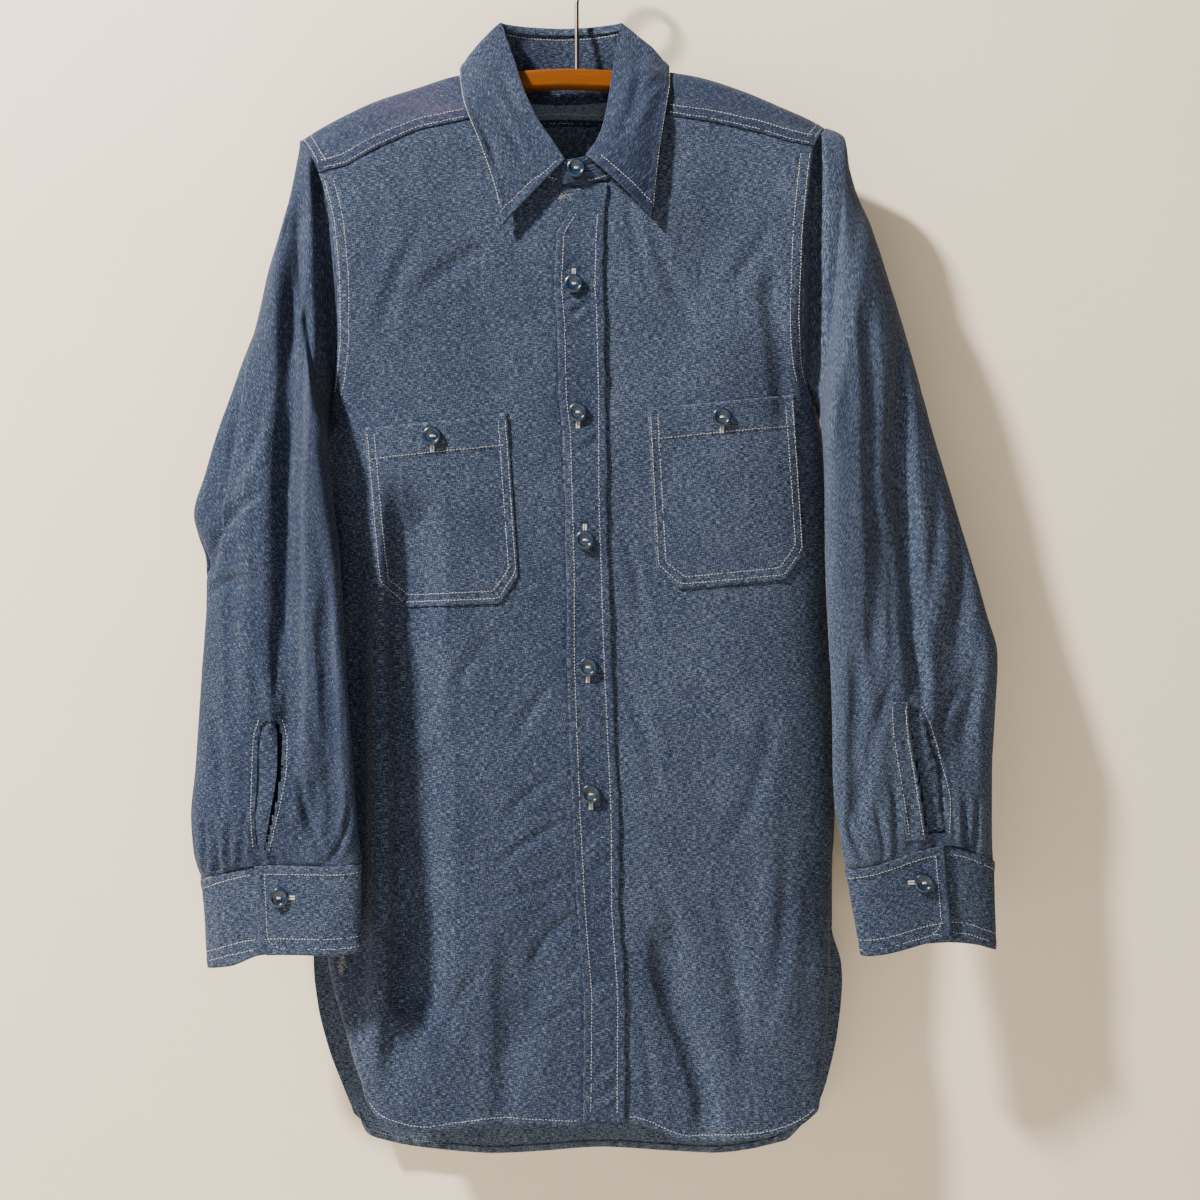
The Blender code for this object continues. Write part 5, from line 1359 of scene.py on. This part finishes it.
def make_bar(finish):
    """A flat wooden bar that follows the shoulders, with soft edges."""
    cuts = 47
    bpy.ops.object.select_all(action="DESELECT")
    bpy.ops.mesh.primitive_cube_add(size=1.0, location=(0, 0, 0))
    bar = bpy.context.object
    bar.name = "hanger_wood"
    bpy.ops.object.mode_set(mode="EDIT")
    bpy.ops.mesh.select_all(action="SELECT")
    bpy.ops.transform.resize(value=(2 * BAR_HALF_LENGTH * MM, BAR_THICKNESS * MM, BAR_HEIGHT * MM),
                             center_override=(0, 0, 0))
    mesh = bmesh.from_edit_mesh(bar.data)
    bpy.ops.mesh.select_all(action="DESELECT")
    bpy.ops.mesh.select_mode(type="EDGE")
    for edge in mesh.edges:
        edge.select_set(abs(edge.verts[0].co.x - edge.verts[1].co.x) > 0.1)
    bmesh.update_edit_mesh(bar.data)
    bpy.ops.mesh.subdivide(number_cuts=cuts)
    for x in np.linspace(-BAR_HALF_LENGTH, BAR_HALF_LENGTH, cuts + 2):
        top = float(read(RIDGE, "x", "down", x)) + CLOTH + BAR_CLEARANCE
        middle = -(top + 0.5 * BAR_HEIGHT) * MM
        taper = 1.0 - 0.25 * (abs(x) / BAR_HALF_LENGTH) ** 6
        select_where(bar, lambda vertex: abs(vertex.co.x - x * MM) < 1e-4, "VERT")
        bpy.ops.transform.resize(value=(1, taper, taper), center_override=(x * MM, 0, 0))
        bpy.ops.transform.translate(value=(0, 0, middle))
    bpy.ops.object.mode_set(mode="OBJECT")
    soften_edges(bar, 2.6, 5, 50)
    bar.data.materials.append(finish)
    return bar


# ---------------------------------------------------------------- finishes

def socket(group, name, kind, way):
    """A named input or output of a node group."""
    return group.interface.new_socket(name, in_out=way, socket_type="NodeSocket" + kind)


class Wiring:
    """Short names for adding and joining nodes in one tree."""

    def __init__(self, tree):
        self.tree = tree

    def add(self, kind, label="", **values):
        node = self.tree.nodes.new("ShaderNode" + kind)
        node.label = label
        for key, value in values.items():
            setattr(node, key, value)
        return node

    def join(self, output, target):
        self.tree.links.new(output, target)

    def feed(self, value, target):
        if isinstance(value, (int, float, tuple)):
            target.default_value = value
        else:
            self.join(value, target)

    def scaled(self, vector, scale, label=""):
        node = self.add("VectorMath", label, operation="MULTIPLY")
        self.join(vector, node.inputs[0])
        node.inputs[1].default_value = scale
        return node.outputs[0]

    def noise(self, vector, scale, detail=2.0, roughness=0.5, label=""):
        node = self.add("TexNoise", label)
        self.join(vector, node.inputs["Vector"])
        node.inputs["Scale"].default_value = scale
        node.inputs["Detail"].default_value = detail
        node.inputs["Roughness"].default_value = roughness
        return node.outputs["Fac"]

    def sum(self, kind, first, second, third=None, clamp=False, label=""):
        node = self.add("Math", label, operation=kind, use_clamp=clamp)
        self.feed(first, node.inputs[0])
        self.feed(second, node.inputs[1])
        if third is not None:
            self.feed(third, node.inputs[2])
        return node.outputs[0]

    def spread(self, value, low, high, to_low, to_high, label=""):
        node = self.add("MapRange", label, clamp=True)
        self.feed(value, node.inputs["Value"])
        node.inputs["From Min"].default_value = low
        node.inputs["From Max"].default_value = high
        node.inputs["To Min"].default_value = to_low
        node.inputs["To Max"].default_value = to_high
        return node.outputs["Result"]

    def blend(self, part, first, second, how="MIX", label=""):
        node = self.add("Mix", label, data_type="RGBA", blend_type=how, clamp_factor=True)
        self.feed(part, node.inputs["Factor"])
        self.feed(first, node.inputs[6])
        self.feed(second, node.inputs[7])
        return node.outputs[2]


def preset(node, **values):
    """Sets inputs of a node by name; an underscore stands for a space."""
    for name, value in values.items():
        node.inputs[name.replace("_", " ")].default_value = value


INDIGO = (0.0045, 0.009, 0.029, 1.0)
MID_BLUE = (0.0195, 0.032, 0.068, 1.0)
FADED = (0.125, 0.162, 0.228, 1.0)
PURPLE = (0.045, 0.034, 0.075, 1.0)
INK = (0.008, 0.010, 0.018, 1.0)

# how often the threads, the flecks, the washed clouds and the worn crackle come in a metre, across and down
WARP = (2100, 290, 1)
WEFT = (270, 2000, 1)
FLECK = (2000, 1900, 1)
CLOUD = (22, 15, 1)
CRACKLE = (150, 110, 1)
WARP_SHARE = 0.4
WEAR_STRENGTH = 0.36
RAMP_REACH = 0.82


def weave_group():
    """Washed chambray: indigo warp and pale weft, slubs, faded edges, painted light and shade carried by the
    fade input and by negative wear, and a fine bump.
    """
    group = bpy.data.node_groups.new("chambray weave", "ShaderNodeTree")
    for name, kind in (("Cloth", "Vector"), ("Wear", "Float"), ("Tint", "Float"), ("Fade", "Float")):
        socket(group, name, kind, "INPUT")
    for name, kind in (("Colour", "Color"), ("Roughness", "Float"), ("Height", "Float")):
        socket(group, name, kind, "OUTPUT")
    wire = Wiring(group)
    inputs = group.nodes.new("NodeGroupInput").outputs
    output = group.nodes.new("NodeGroupOutput")
    warp = wire.noise(wire.scaled(inputs["Cloth"], WARP), 1.0, 1.5, 0.5, "warp slubs")
    weft = wire.noise(wire.scaled(inputs["Cloth"], WEFT), 1.0, 1.5, 0.5, "weft slubs")
    fleck = wire.noise(wire.scaled(inputs["Cloth"], FLECK), 1.0, 1.0, 0.5, "flecks")
    cloud = wire.noise(wire.scaled(inputs["Cloth"], CLOUD), 1.0, 3.0, 0.6, "washed clouds")
    crackle = wire.noise(wire.scaled(inputs["Cloth"], CRACKLE), 1.0, 4.0, 0.65, "worn crackle")
    threads = wire.sum("MULTIPLY_ADD", warp, WARP_SHARE, wire.sum("MULTIPLY", weft, 1 - WARP_SHARE))
    pale = wire.spread(threads, 0.32, 0.68, -0.40, 1.40, "pale threads")
    speck = wire.spread(fleck, 0.25, 0.75, -0.50, 0.50, "speckle")
    level = wire.sum("ADD", pale, speck)
    level = wire.sum("ADD", level, wire.spread(cloud, 0.3, 0.7, -0.08, 0.08))
    level = wire.sum("ADD", level, wire.spread(crackle, 0.38, 0.68, -0.05, 0.06))
    # painted light and shade: the fade input shifts the whole piece lighter or darker; on the fronts,
    # sleeves, yoke and collar it stands in for how the lamps light them, and it lightens inside faces as
    # painted light
    level = wire.sum("ADD", level, inputs["Fade"])
    patchy = wire.spread(crackle, 0.40, 0.60, 0.15, 1.0)
    # the wear field lightens worn edges; where it is below zero, on the collar's right half, it is painted
    # shade
    worn = wire.sum("MULTIPLY", inputs["Wear"], patchy, label="worn edges and painted shade")
    level = wire.sum("MULTIPLY_ADD", worn, WEAR_STRENGTH, level)
    ramp = wire.add("ValToRGB", "thread colours")
    ramp.color_ramp.elements[0].position = 0.05
    ramp.color_ramp.elements[0].color = INDIGO
    ramp.color_ramp.elements[1].color = FADED
    middle = ramp.color_ramp.elements.new(0.5)
    middle.color = MID_BLUE
    wire.join(wire.sum("MULTIPLY", level, RAMP_REACH), ramp.inputs["Fac"])
    tint = wire.sum("MULTIPLY", inputs["Tint"], 0.50)
    stain = wire.blend(tint, ramp.outputs["Color"], PURPLE, label="iridescent tint")
    wire.join(stain, output.inputs["Colour"])
    wire.join(wire.spread(fleck, 0.3, 0.7, 0.80, 0.95), output.inputs["Roughness"])
    height = wire.sum("MULTIPLY_ADD", crackle, 0.9, wire.sum("MULTIPLY", threads, 1.0))
    height = wire.sum("MULTIPLY_ADD", fleck, 0.5, height)
    wire.join(height, output.inputs["Height"])
    return group


def chambray(name, group, fade=0.0, spots=(), inside=0.0):
    """The woven finish, shifted lighter or darker by fade, with ink spots, and with painted light on the
    inside faces where asked; on the fronts, sleeves, yoke and collar the fade is painted light and shade.
    """
    finish = bpy.data.materials.new(name)
    finish.use_nodes = True
    wire = Wiring(finish.node_tree)
    shader = finish.node_tree.nodes["Principled BSDF"]
    cloth = wire.add("UVMap", uv_map="cloth")
    weave = wire.add("Group")
    weave.node_tree = group
    wire.join(cloth.outputs["UV"], weave.inputs["Cloth"])
    for key in ("Wear", "Tint"):
        read_in = wire.add("Attribute", attribute_name=key.lower())
        wire.join(read_in.outputs["Fac"], weave.inputs[key])
    sides = wire.add("NewGeometry")
    # painted light: inside faces are lightened by inside, standing in for light that reaches into the neck
    # opening; fade is added on top
    wire.join(wire.sum("MULTIPLY_ADD", sides.outputs["Backfacing"], inside, fade, label="paler inside"),
              weave.inputs["Fade"])
    colour = weave.outputs["Colour"]
    for x, down, radius in spots:
        gap = wire.add("VectorMath", operation="DISTANCE")
        wire.join(cloth.outputs["UV"], gap.inputs[0])
        gap.inputs[1].default_value = (x * MM, down * MM, 0)
        dark = wire.spread(gap.outputs["Value"], 0.5 * radius * MM, radius * MM, 0.92, 0.0, "spot")
        colour = wire.blend(dark, colour, INK)
    wire.join(colour, shader.inputs["Base Color"])
    wire.join(weave.outputs["Roughness"], shader.inputs["Roughness"])
    bump = wire.add("Bump")
    preset(bump, Strength=0.55, Distance=0.0004)
    wire.join(weave.outputs["Height"], bump.inputs["Height"])
    wire.join(bump.outputs["Normal"], shader.inputs["Normal"])
    preset(shader, Specular_IOR_Level=0.12, Sheen_Weight=0.05, Sheen_Roughness=0.5)
    return finish


def simple_finish(name, base, second, scale, stretch, roughness, metallic=0.0, coat=0.0, gloss=0.5):
    """A finish with two tones mixed by a stretched noise, and a fine bump."""
    finish = bpy.data.materials.new(name)
    finish.use_nodes = True
    wire = Wiring(finish.node_tree)
    shader = finish.node_tree.nodes["Principled BSDF"]
    place = wire.add("TexCoord")
    grain = wire.noise(wire.scaled(place.outputs["Object"], stretch), scale, 4.0, 0.6, "grain")
    wire.join(wire.blend(wire.spread(grain, 0.35, 0.65, 0, 1), base, second), shader.inputs["Base Color"])
    wire.join(wire.spread(grain, 0.3, 0.7, roughness[0], roughness[1]), shader.inputs["Roughness"])
    preset(shader, Metallic=metallic, Coat_Weight=coat, Coat_Roughness=0.12, Specular_IOR_Level=gloss)
    bump = wire.add("Bump")
    preset(bump, Strength=0.3, Distance=0.0002)
    wire.join(grain, bump.inputs["Height"])
    wire.join(bump.outputs["Normal"], shader.inputs["Normal"])
    return finish


# ---------------------------------------------------------------- putting it together

weave = weave_group()
front_spots = list(zip(SPECKS["x"], SPECKS["down"], SPECKS["radius"]))
# painted light and shade: the wearer's right front and its pocket are darkened and the left ones lightened,
# evening out how the key lamp from the left lights the two sides
front_cloths = {RIGHT: chambray("right_front_chambray", weave, fade=-0.05, spots=front_spots),
                LEFT: chambray("left_front_chambray", weave, fade=0.03, spots=front_spots)}
# painted light: the back's inside faces are lightened, standing in for light reaching the inside at the neck
back_cloth = chambray("back_chambray", weave, inside=0.25)
trim_cloth = chambray("trim_chambray", weave, fade=-0.10)
# painted shade and light: the yoke is darkened where its top faces the key lamp, and its inside faces are
# lightened where the neck opening lies in shade
yoke_cloth = chambray("yoke_chambray", weave, fade=-0.22, inside=0.9)
# painted shade: the whole collar is darkened a little, for the shade its right leaf lies in
collar_cloth = chambray("collar_chambray", weave, fade=-0.10, spots=[COLLAR_SPOT])
cuff_cloth = chambray("cuff_chambray", weave)
# painted light and shade: the right sleeve is darkened and the left one lightened, evening out how the key
# lamp from the left lights the two sides
sleeve_cloths = {RIGHT: chambray("right_sleeve_chambray", weave, fade=-0.15),
                 LEFT: chambray("left_sleeve_chambray", weave, fade=0.06)}
thread = simple_finish("white_thread", (0.60, 0.60, 0.57, 1), (0.36, 0.38, 0.42, 1), 300, (1, 1, 1),
                       (0.7, 0.9))
navy = simple_finish("navy_plastic", (0.002, 0.011, 0.030, 1), (0.004, 0.019, 0.048, 1), 200, (1, 1, 1),
                     (0.2, 0.32), coat=0.15)
wood = simple_finish("varnished_wood", (0.215, 0.066, 0.0005, 1), (0.13, 0.034, 0.0003, 1), 60, (0.08, 1, 1),
                     (0.4, 0.55), coat=0.03, gloss=0.12)
nickel = simple_finish("dull_nickel", (0.12, 0.10, 0.08, 1), (0.05, 0.04, 0.03, 1), 90, (1, 1, 0.2),
                       (0.3, 0.5), metallic=1.0)

front_right = make_front(RIGHT, front_cloths[RIGHT])
front_left = make_front(LEFT, front_cloths[LEFT])
back = make_back(back_cloth)
yoke = make_yoke(yoke_cloth)
stand = make_stand(collar_cloth)
leaf = make_leaf(collar_cloth)
fronts = tree_of(front_right, front_left)
placket = make_placket(fronts, trim_cloth)
pockets = {side: make_pocket(side, fronts, front_cloths[side]) for side in (RIGHT, LEFT)}
sleeves = {side: make_sleeve(side, sleeve_cloths[side]) for side in (RIGHT, LEFT)}
cuffs = {side: make_cuff(side, cuff_cloth) for side in (RIGHT, LEFT)}
strips = {}
for side in (RIGHT, LEFT):
    strips[side] = make_slit_strips(side, tree_of(sleeves[side]), sleeve_cloths[side])
    cut_slit(sleeves[side], side)

# buttons
shape = make_button_shape()
seats = {}
front_tree = tree_of(front_right, front_left, placket, pockets[RIGHT], pockets[LEFT])
for index, (x, down) in enumerate(zip(FRONT_BUTTONS["x"], FRONT_BUTTONS["down"])):
    seats["button_front_%d" % (index + 2)] = (x, down, front_tree)
for side, label in SIDE_NAMES.items():
    seats["button_pocket_" + label] = POCKET_BUTTONS[side] + (front_tree,)
    seats["button_cuff_" + label] = CUFF_BUTTONS[side] + (tree_of(cuffs[side]),)
seats["button_front_1"] = NECK_BUTTON + (tree_of(stand),)
buttons = {}
for index, (node, (x, down, tree)) in enumerate(sorted(seats.items())):
    seat = laid_on(tree, x + np.array([-4, 0, 4, 0]), down + np.array([0, 4, 0, -4]), 0)[:, 1].min() - 0.4
    seat = min(seat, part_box(node)[1][1] / MM + 0.3)
    lean = BUTTON_LEAN * (-1) ** index
    buttons[node] = place_button(shape, "shirt_" + node, x, down, seat, lean, navy)
    seats[node] = (x, down, seat)
bpy.data.objects.remove(shape, do_unlink=True)

bar = make_bar(wood)
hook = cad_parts["hanger_hook"]
hook.data.materials.clear()
hook.data.materials.append(nickel)


# ---------------------------------------------------------------- stitches

stitches = []


def on_cloth(x, down, tree, layer=FRONT):
    """A line of places laid on the cloth."""
    return laid_on(tree, x, down, 0.0, layer)


downs = np.arange(236.0, 932.0, 3.0)
placket_tree = tree_of(placket)
free = placket_edge("free", downs)
sewn = placket_edge("sewn", downs)
stitch_row(stitches, placket_tree, [on_cloth(free + PLACKET_FREE_ROW, downs, placket_tree),
                                    on_cloth(sewn - PLACKET_SEWN_ROW, downs, placket_tree)], 1)

hem_shares = np.linspace(0.0, 0.985, 90)
for side, item in ((RIGHT, front_right), (LEFT, front_left)):
    tree = tree_of(item)
    hem = read(FRONT_HEM[side], "share", "down", hem_shares) - FRONT_HEM_ROW
    start = 0.1 if side == RIGHT else 0.12
    use = hem_shares > start
    x = body_x(side * hem_shares, hem, FRONT)
    stitch_row(stitches, tree, [on_cloth(x[use], hem[use], tree)], 3 + side)
    # twin rows beside the armhole
    loop_down = np.linspace(SIDE_EDGE[side]["down"][1] + 6, UNDERARM[side] - 14, 80)
    edge = read(SIDE_EDGE[side], "down", "front", loop_down)
    twin_rows = [on_cloth(edge - side * row, loop_down, tree) for row in ARMHOLE_ROWS]
    stitch_row(stitches, tree, twin_rows, 5 + side)
back_tree = tree_of(back)
back_shares = np.linspace(-0.985, 0.985, 170)
hem = read(BACK_HEM, "share", "down", back_shares) - BACK_HEM_ROW
hem_row = on_cloth(body_x(back_shares, hem, BACK), hem, back_tree, layer=BACK)
stitch_row(stitches, back_tree, [hem_row], 9)
stitch_row(stitches, back_tree, [hem_row], 10, outward=(0, -1, 0))
for side in (RIGHT, LEFT):
    loop_down = np.linspace(SIDE_EDGE[side]["down"][1] + 22, UNDERARM[side] - 14, 80)
    edge = read(SIDE_EDGE[side], "down", "back", loop_down)
    twin_rows = [on_cloth(edge - side * row, loop_down, back_tree, layer=BACK) for row in ARMHOLE_ROWS]
    stitch_row(stitches, back_tree, twin_rows, 11 + side)

# the yoke's rows: two along each front seam, two along the back seam, and those inside the neck
yoke_tree = tree_of(yoke)
for side in (RIGHT, LEFT):
    shares = np.linspace(YOKE_SEAM[side]["share"][0] + 0.015, 0.985, 60)
    down = front_top(side, shares)
    for rise in YOKE_FRONT_ROWS:
        roots = root_of(side * shares, down - rise)
        raised = body_at_root(side * shares, roots) - (0, 3.5, 1.5)
        stitch_row(stitches, yoke_tree, [raised], 15 + side + int(rise))
shares = np.linspace(-0.97, 0.97, 130)
for rise in YOKE_BACK_ROWS:
    roots = yoke_back_root(shares, rise)
    stitch_row(stitches, yoke_tree, [body_at_root(shares, roots)], 25 + int(rise))
inner = np.linspace(-0.3, 0.26, 40)
for rise in YOKE_BACK_ROWS:
    roots = yoke_back_root(inner, rise)
    stitch_row(stitches, yoke_tree, [body_at_root(inner, roots)], 35 + int(rise), outward=(0, -1, 0))

# collar
leaf_tree = tree_of(leaf)
_, fold, edge, bow = neck_curves(160)
inward = directions(fold - edge)
rim = edge + COLLAR_ROW * inward
ends = []
for index in (0, -1):
    start, stop = fold[index], edge[index]
    neighbour = fold[1 if index == 0 else -2] - fold[index]
    neighbour = neighbour / np.linalg.norm(neighbour)
    parts = np.linspace(0.08, 0.93, 30)[:, None]
    ends.append(start + parts * (stop - start) + COLLAR_ROW * neighbour)
raised = [line + 6.0 * from_neck(line[None])[0] for line in (rim[4:-4], ends[0], ends[1])]
stitch_row(stitches, leaf_tree, raised, 41)
stand_tree = tree_of(stand)
foot, fold, _, _ = neck_curves(160)
rise = directions(fold - foot)
low_row = foot + 2.6 * rise
high_row = foot + 0.84 * (fold - foot)
for row, seed in ((low_row, 43), (high_row, 44)):
    stitch_row(stitches, stand_tree, [row], seed)
    # the same row inside the neck, round the back
    points = spread(row[50:118], STITCH_PITCH)
    for start, end in zip(points[:-1], points[1:]):
        out = Vector(-from_neck(start[None])[0])
        first = stand_tree.find_nearest(in_metres(start))[0]
        last = stand_tree.find_nearest(in_metres(end))[0]
        stitches.append(((first.lerp(last, 0.12), out), (first.lerp(last, 0.88), out), 1.0))

# pockets
for side in (RIGHT, LEFT):
    tree = tree_of(pockets[side])
    top_left, top_right, low_left, low_right = (np.array(corner) for corner in POCKET_CORNERS[side])
    for inset in POCKET_ROWS:
        outline = []
        for across, part in ((0, 0.03), (0, 0.86), (0.14, 0.985), (0.86, 0.985), (1, 0.84), (1, 0.03)):
            top = top_left + across * (top_right - top_left)
            low = low_left + across * (low_right - low_left)
            place = top + part * (low - top)
            centre = 0.25 * (top_left + top_right + low_left + low_right)
            shift = np.array([np.sign(centre[0] - place[0]) * inset * (1 if across in (0, 1) else 0.7),
                              -inset if part > 0.9 else (-0.35 * inset if part > 0.5 else 0.0)])
            outline.append(place + shift)
        line = spread(np.array(outline), 3.0)
        stitch_row(stitches, tree, [on_cloth(line[:, 0], line[:, 1], tree)], 51 + side + int(inset))
    across = np.linspace(0.02, 0.98, 60)[:, None]
    hem_line = top_left + across * (top_right - top_left) + np.array([0, POCKET_HEM_ROW])
    stitch_row(stitches, tree, [on_cloth(hem_line[:, 0], hem_line[:, 1], tree)], 61 + side)

# cuffs and slit strips
for side in (RIGHT, LEFT):
    tree = tree_of(cuffs[side])
    around = np.linspace(CUFF_LAP + 0.006, CUFF_LAP + 0.99, 180)
    upper = np.array([section(rows_of(SLEEVE[side])[-1], a) for a in around])
    lower = np.array([section(rows_of(CUFF_END[side])[0], a) for a in around])
    upper[:, 2] -= arch(around, CUFF_ARCH[side][0])
    lower[:, 2] -= arch(around, CUFF_ARCH[side][1])
    for part in CUFF_ROWS:
        stitch_row(stitches, tree, [upper + part * (lower - upper)], 71 + side + int(100 * part))
    corner = np.array([upper[3] + part * (lower[3] - upper[3]) for part in np.linspace(0.06, 0.80, 20)])
    bend = np.array([upper[index] + part * (lower[index] - upper[index])
                     for index, part in ((3, 0.80), (4, 0.86), (6, 0.90), (9, 0.925))])
    stitch_row(stitches, tree, [corner, bend], 76 + side)
    table = SLIT[side]
    down = np.linspace(table["down"][0] + 3, table["down"][-1] - 2, 50)
    lap_tree = tree_of(strips[side][1])
    lap = read(table, "down", "lap", down)
    insets = (2.0,) if side == RIGHT else (2.0, 13.0)
    sleeve_tree = tree_of(sleeves[side])
    under = read(table, "down", "under", down)
    stitch_row(stitches, sleeve_tree, [on_cloth(under + side * 1.8, down, sleeve_tree)], 86 + side)
    lap_rows = [on_cloth(lap - side * inset, down, lap_tree) for inset in insets]
    stitch_row(stitches, lap_tree, lap_rows, 81 + side)

# thread in the buttons and round the buttonholes
chance = np.random.default_rng(7)
toward = Vector((0, FRONT, 0))
for node, (x, down, seat) in seats.items():
    for offset in (-0.5, -0.15, 0.2, 0.5):
        y = (seat - 2.15) * MM
        first = Vector(((x - 1.9) * MM, y, -(down + offset) * MM))
        last = Vector(((x + 1.9) * MM, y, -(down + offset + chance.normal(0, 0.1)) * MM))
        stitches.append(((first, toward), (last, toward), 1.5))
    if node == "button_front_1":
        continue
    sign = -1 if node in ("button_front_2", "button_front_4") else 1
    sideways = "cuff" in node
    tree = front_tree if not sideways else tree_of(cuffs[RIGHT if "right" in node else LEFT])
    for step in np.arange(7.0, 12.0, 0.45):
        for half in (-0.9, 0.9):
            dx, dd = (step * (1 if "left" not in node else -1), half) if sideways else (half, sign * step)
            base = laid_on(tree, x + dx, down + dd, 0.25)
            reach = (0.0, 0.8) if sideways else (0.8, 0.0)
            first = Vector(((base[0] - reach[0]) * MM, base[1] * MM, -(base[2] - reach[1]) * MM))
            last = Vector(((base[0] + reach[0]) * MM, base[1] * MM, -(base[2] + reach[1]) * MM))
            stitches.append(((first, toward), (last, toward), 1.15))
# rows beside the armholes where they cross the yoke, and the frayed places
for side in (RIGHT, LEFT):
    top = front_top(side, np.array([0.98]))[0]
    roots = np.linspace(float(root_of(side * 0.98, top)) + 0.3, 4.2, 40)
    for share in (0.987, 0.955):
        stitch_row(stitches, yoke_tree, [body_at_root(np.full_like(roots, side * share), roots)], 91 + side)
frayed(stitches, front_tree, -9.0, 221.0, (1.6, 0.7), 14, 6, 201, 0.45)
frayed(stitches, front_tree, -51.5, 391.5, 0.9, 9, 3, 202)
frayed(stitches, tree_of(front_right, back), -182.5, 815.0, (1.9, 6.0), 90, 2.6, 203, 1.6)
frayed(stitches, front_tree, -100.0, 417.0, (12.0, 0.4), 16, 1.8, 204)
stitching = sew("shirt_stitching", stitches, thread)


# ---------------------------------------------------------------- what each piece stands for

cloth_pieces = {
    front_right: "front_right", front_left: "front_left", back: "back", yoke: "yoke",
    stand: "collar_stand", leaf: "collar_leaf", placket: "front_placket",
    pockets[RIGHT]: "pocket_right", pockets[LEFT]: "pocket_left",
    sleeves[RIGHT]: "sleeve_right", sleeves[LEFT]: "sleeve_left",
    cuffs[RIGHT]: "cuff_right", cuffs[LEFT]: "cuff_left",
    strips[RIGHT][1]: "sleeve_placket_right", strips[LEFT][1]: "sleeve_placket_left",
    strips[RIGHT][0]: "sleeve_underlap_right", strips[LEFT][0]: "sleeve_underlap_left"}
for item, node in cloth_pieces.items():
    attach(item, "root")
    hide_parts(node)
for node, item in buttons.items():
    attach(item, "root")
    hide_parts(node)
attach(bar, "root")
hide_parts("hanger_bar")
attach(stitching, "root")


# ---------------------------------------------------------------- the setting

def plain_stage(name, size, place, turn, colour):
    """A flat painted wall or floor."""
    bpy.ops.object.select_all(action="DESELECT")
    bpy.ops.mesh.primitive_plane_add(size=size, location=place, rotation=turn)
    item = bpy.context.object
    item.name = name
    shaded = tuple(0.97 * part for part in colour[:3]) + (1,)
    finish = simple_finish(name + "_paint", colour, shaded, 3, (1, 1, 1), (0.85, 0.95))
    item.data.materials.append(finish)
    return item


def soft_light(name, place, aim, size, power, colour):
    """A round soft lamp turned to a place."""
    light = bpy.data.lights.new(name, "AREA")
    light.shape = "DISK"
    light.size = size
    light.energy = power
    light.color = colour
    item = put_in_scene(name, light)
    item.location = place
    item.rotation_euler = (Vector(aim) - Vector(place)).to_track_quat("-Z", "Y").to_euler()
    return item


# places in metres, lens and sensor in millimetres, lamps in watts; the photograph looks level at the shirt
MIDDLE_OF_SHIRT = (0.0, 0.0, -0.55)
CAMERA_PLACE = (0.0185, -1.115, -0.534)
LENS = 42.08
SENSOR_WIDTH = 36.0
WALL_DISTANCE = 0.040
FLOOR_HEIGHT = -1.25
KEY_POWER = 345.0
FILL_POWER = 7.5
ROOM_LIGHT = 0.12
wall = plain_stage("wall", 6.0, (0, WALL_DISTANCE, -0.5), (math.radians(90), 0, 0), (0.80, 0.725, 0.61, 1))
floor = plain_stage("floor", 6.0, (0, -2.0, FLOOR_HEIGHT), (0, 0, 0), (0.74, 0.69, 0.61, 1))
soft_light("key", (-1.86, -1.20, 1.58), MIDDLE_OF_SHIRT, 0.26, KEY_POWER, (1.0, 0.93, 0.82))
soft_light("fill", (0.1, -2.4, -0.2), MIDDLE_OF_SHIRT, 1.2, FILL_POWER, (1.0, 0.97, 0.92))
world = bpy.data.worlds.new("room")
world.use_nodes = True
world.node_tree.nodes["Background"].inputs["Color"].default_value = (1.0, 0.95, 0.88, 1)
world.node_tree.nodes["Background"].inputs["Strength"].default_value = ROOM_LIGHT
bpy.context.scene.world = world

camera = bpy.data.cameras.new("camera")
camera.sensor_width = SENSOR_WIDTH
camera.lens = LENS
eye = put_in_scene("camera", camera)
eye.location = CAMERA_PLACE
eye.rotation_euler = (math.radians(90), 0, 0)
bpy.context.scene.camera = eye
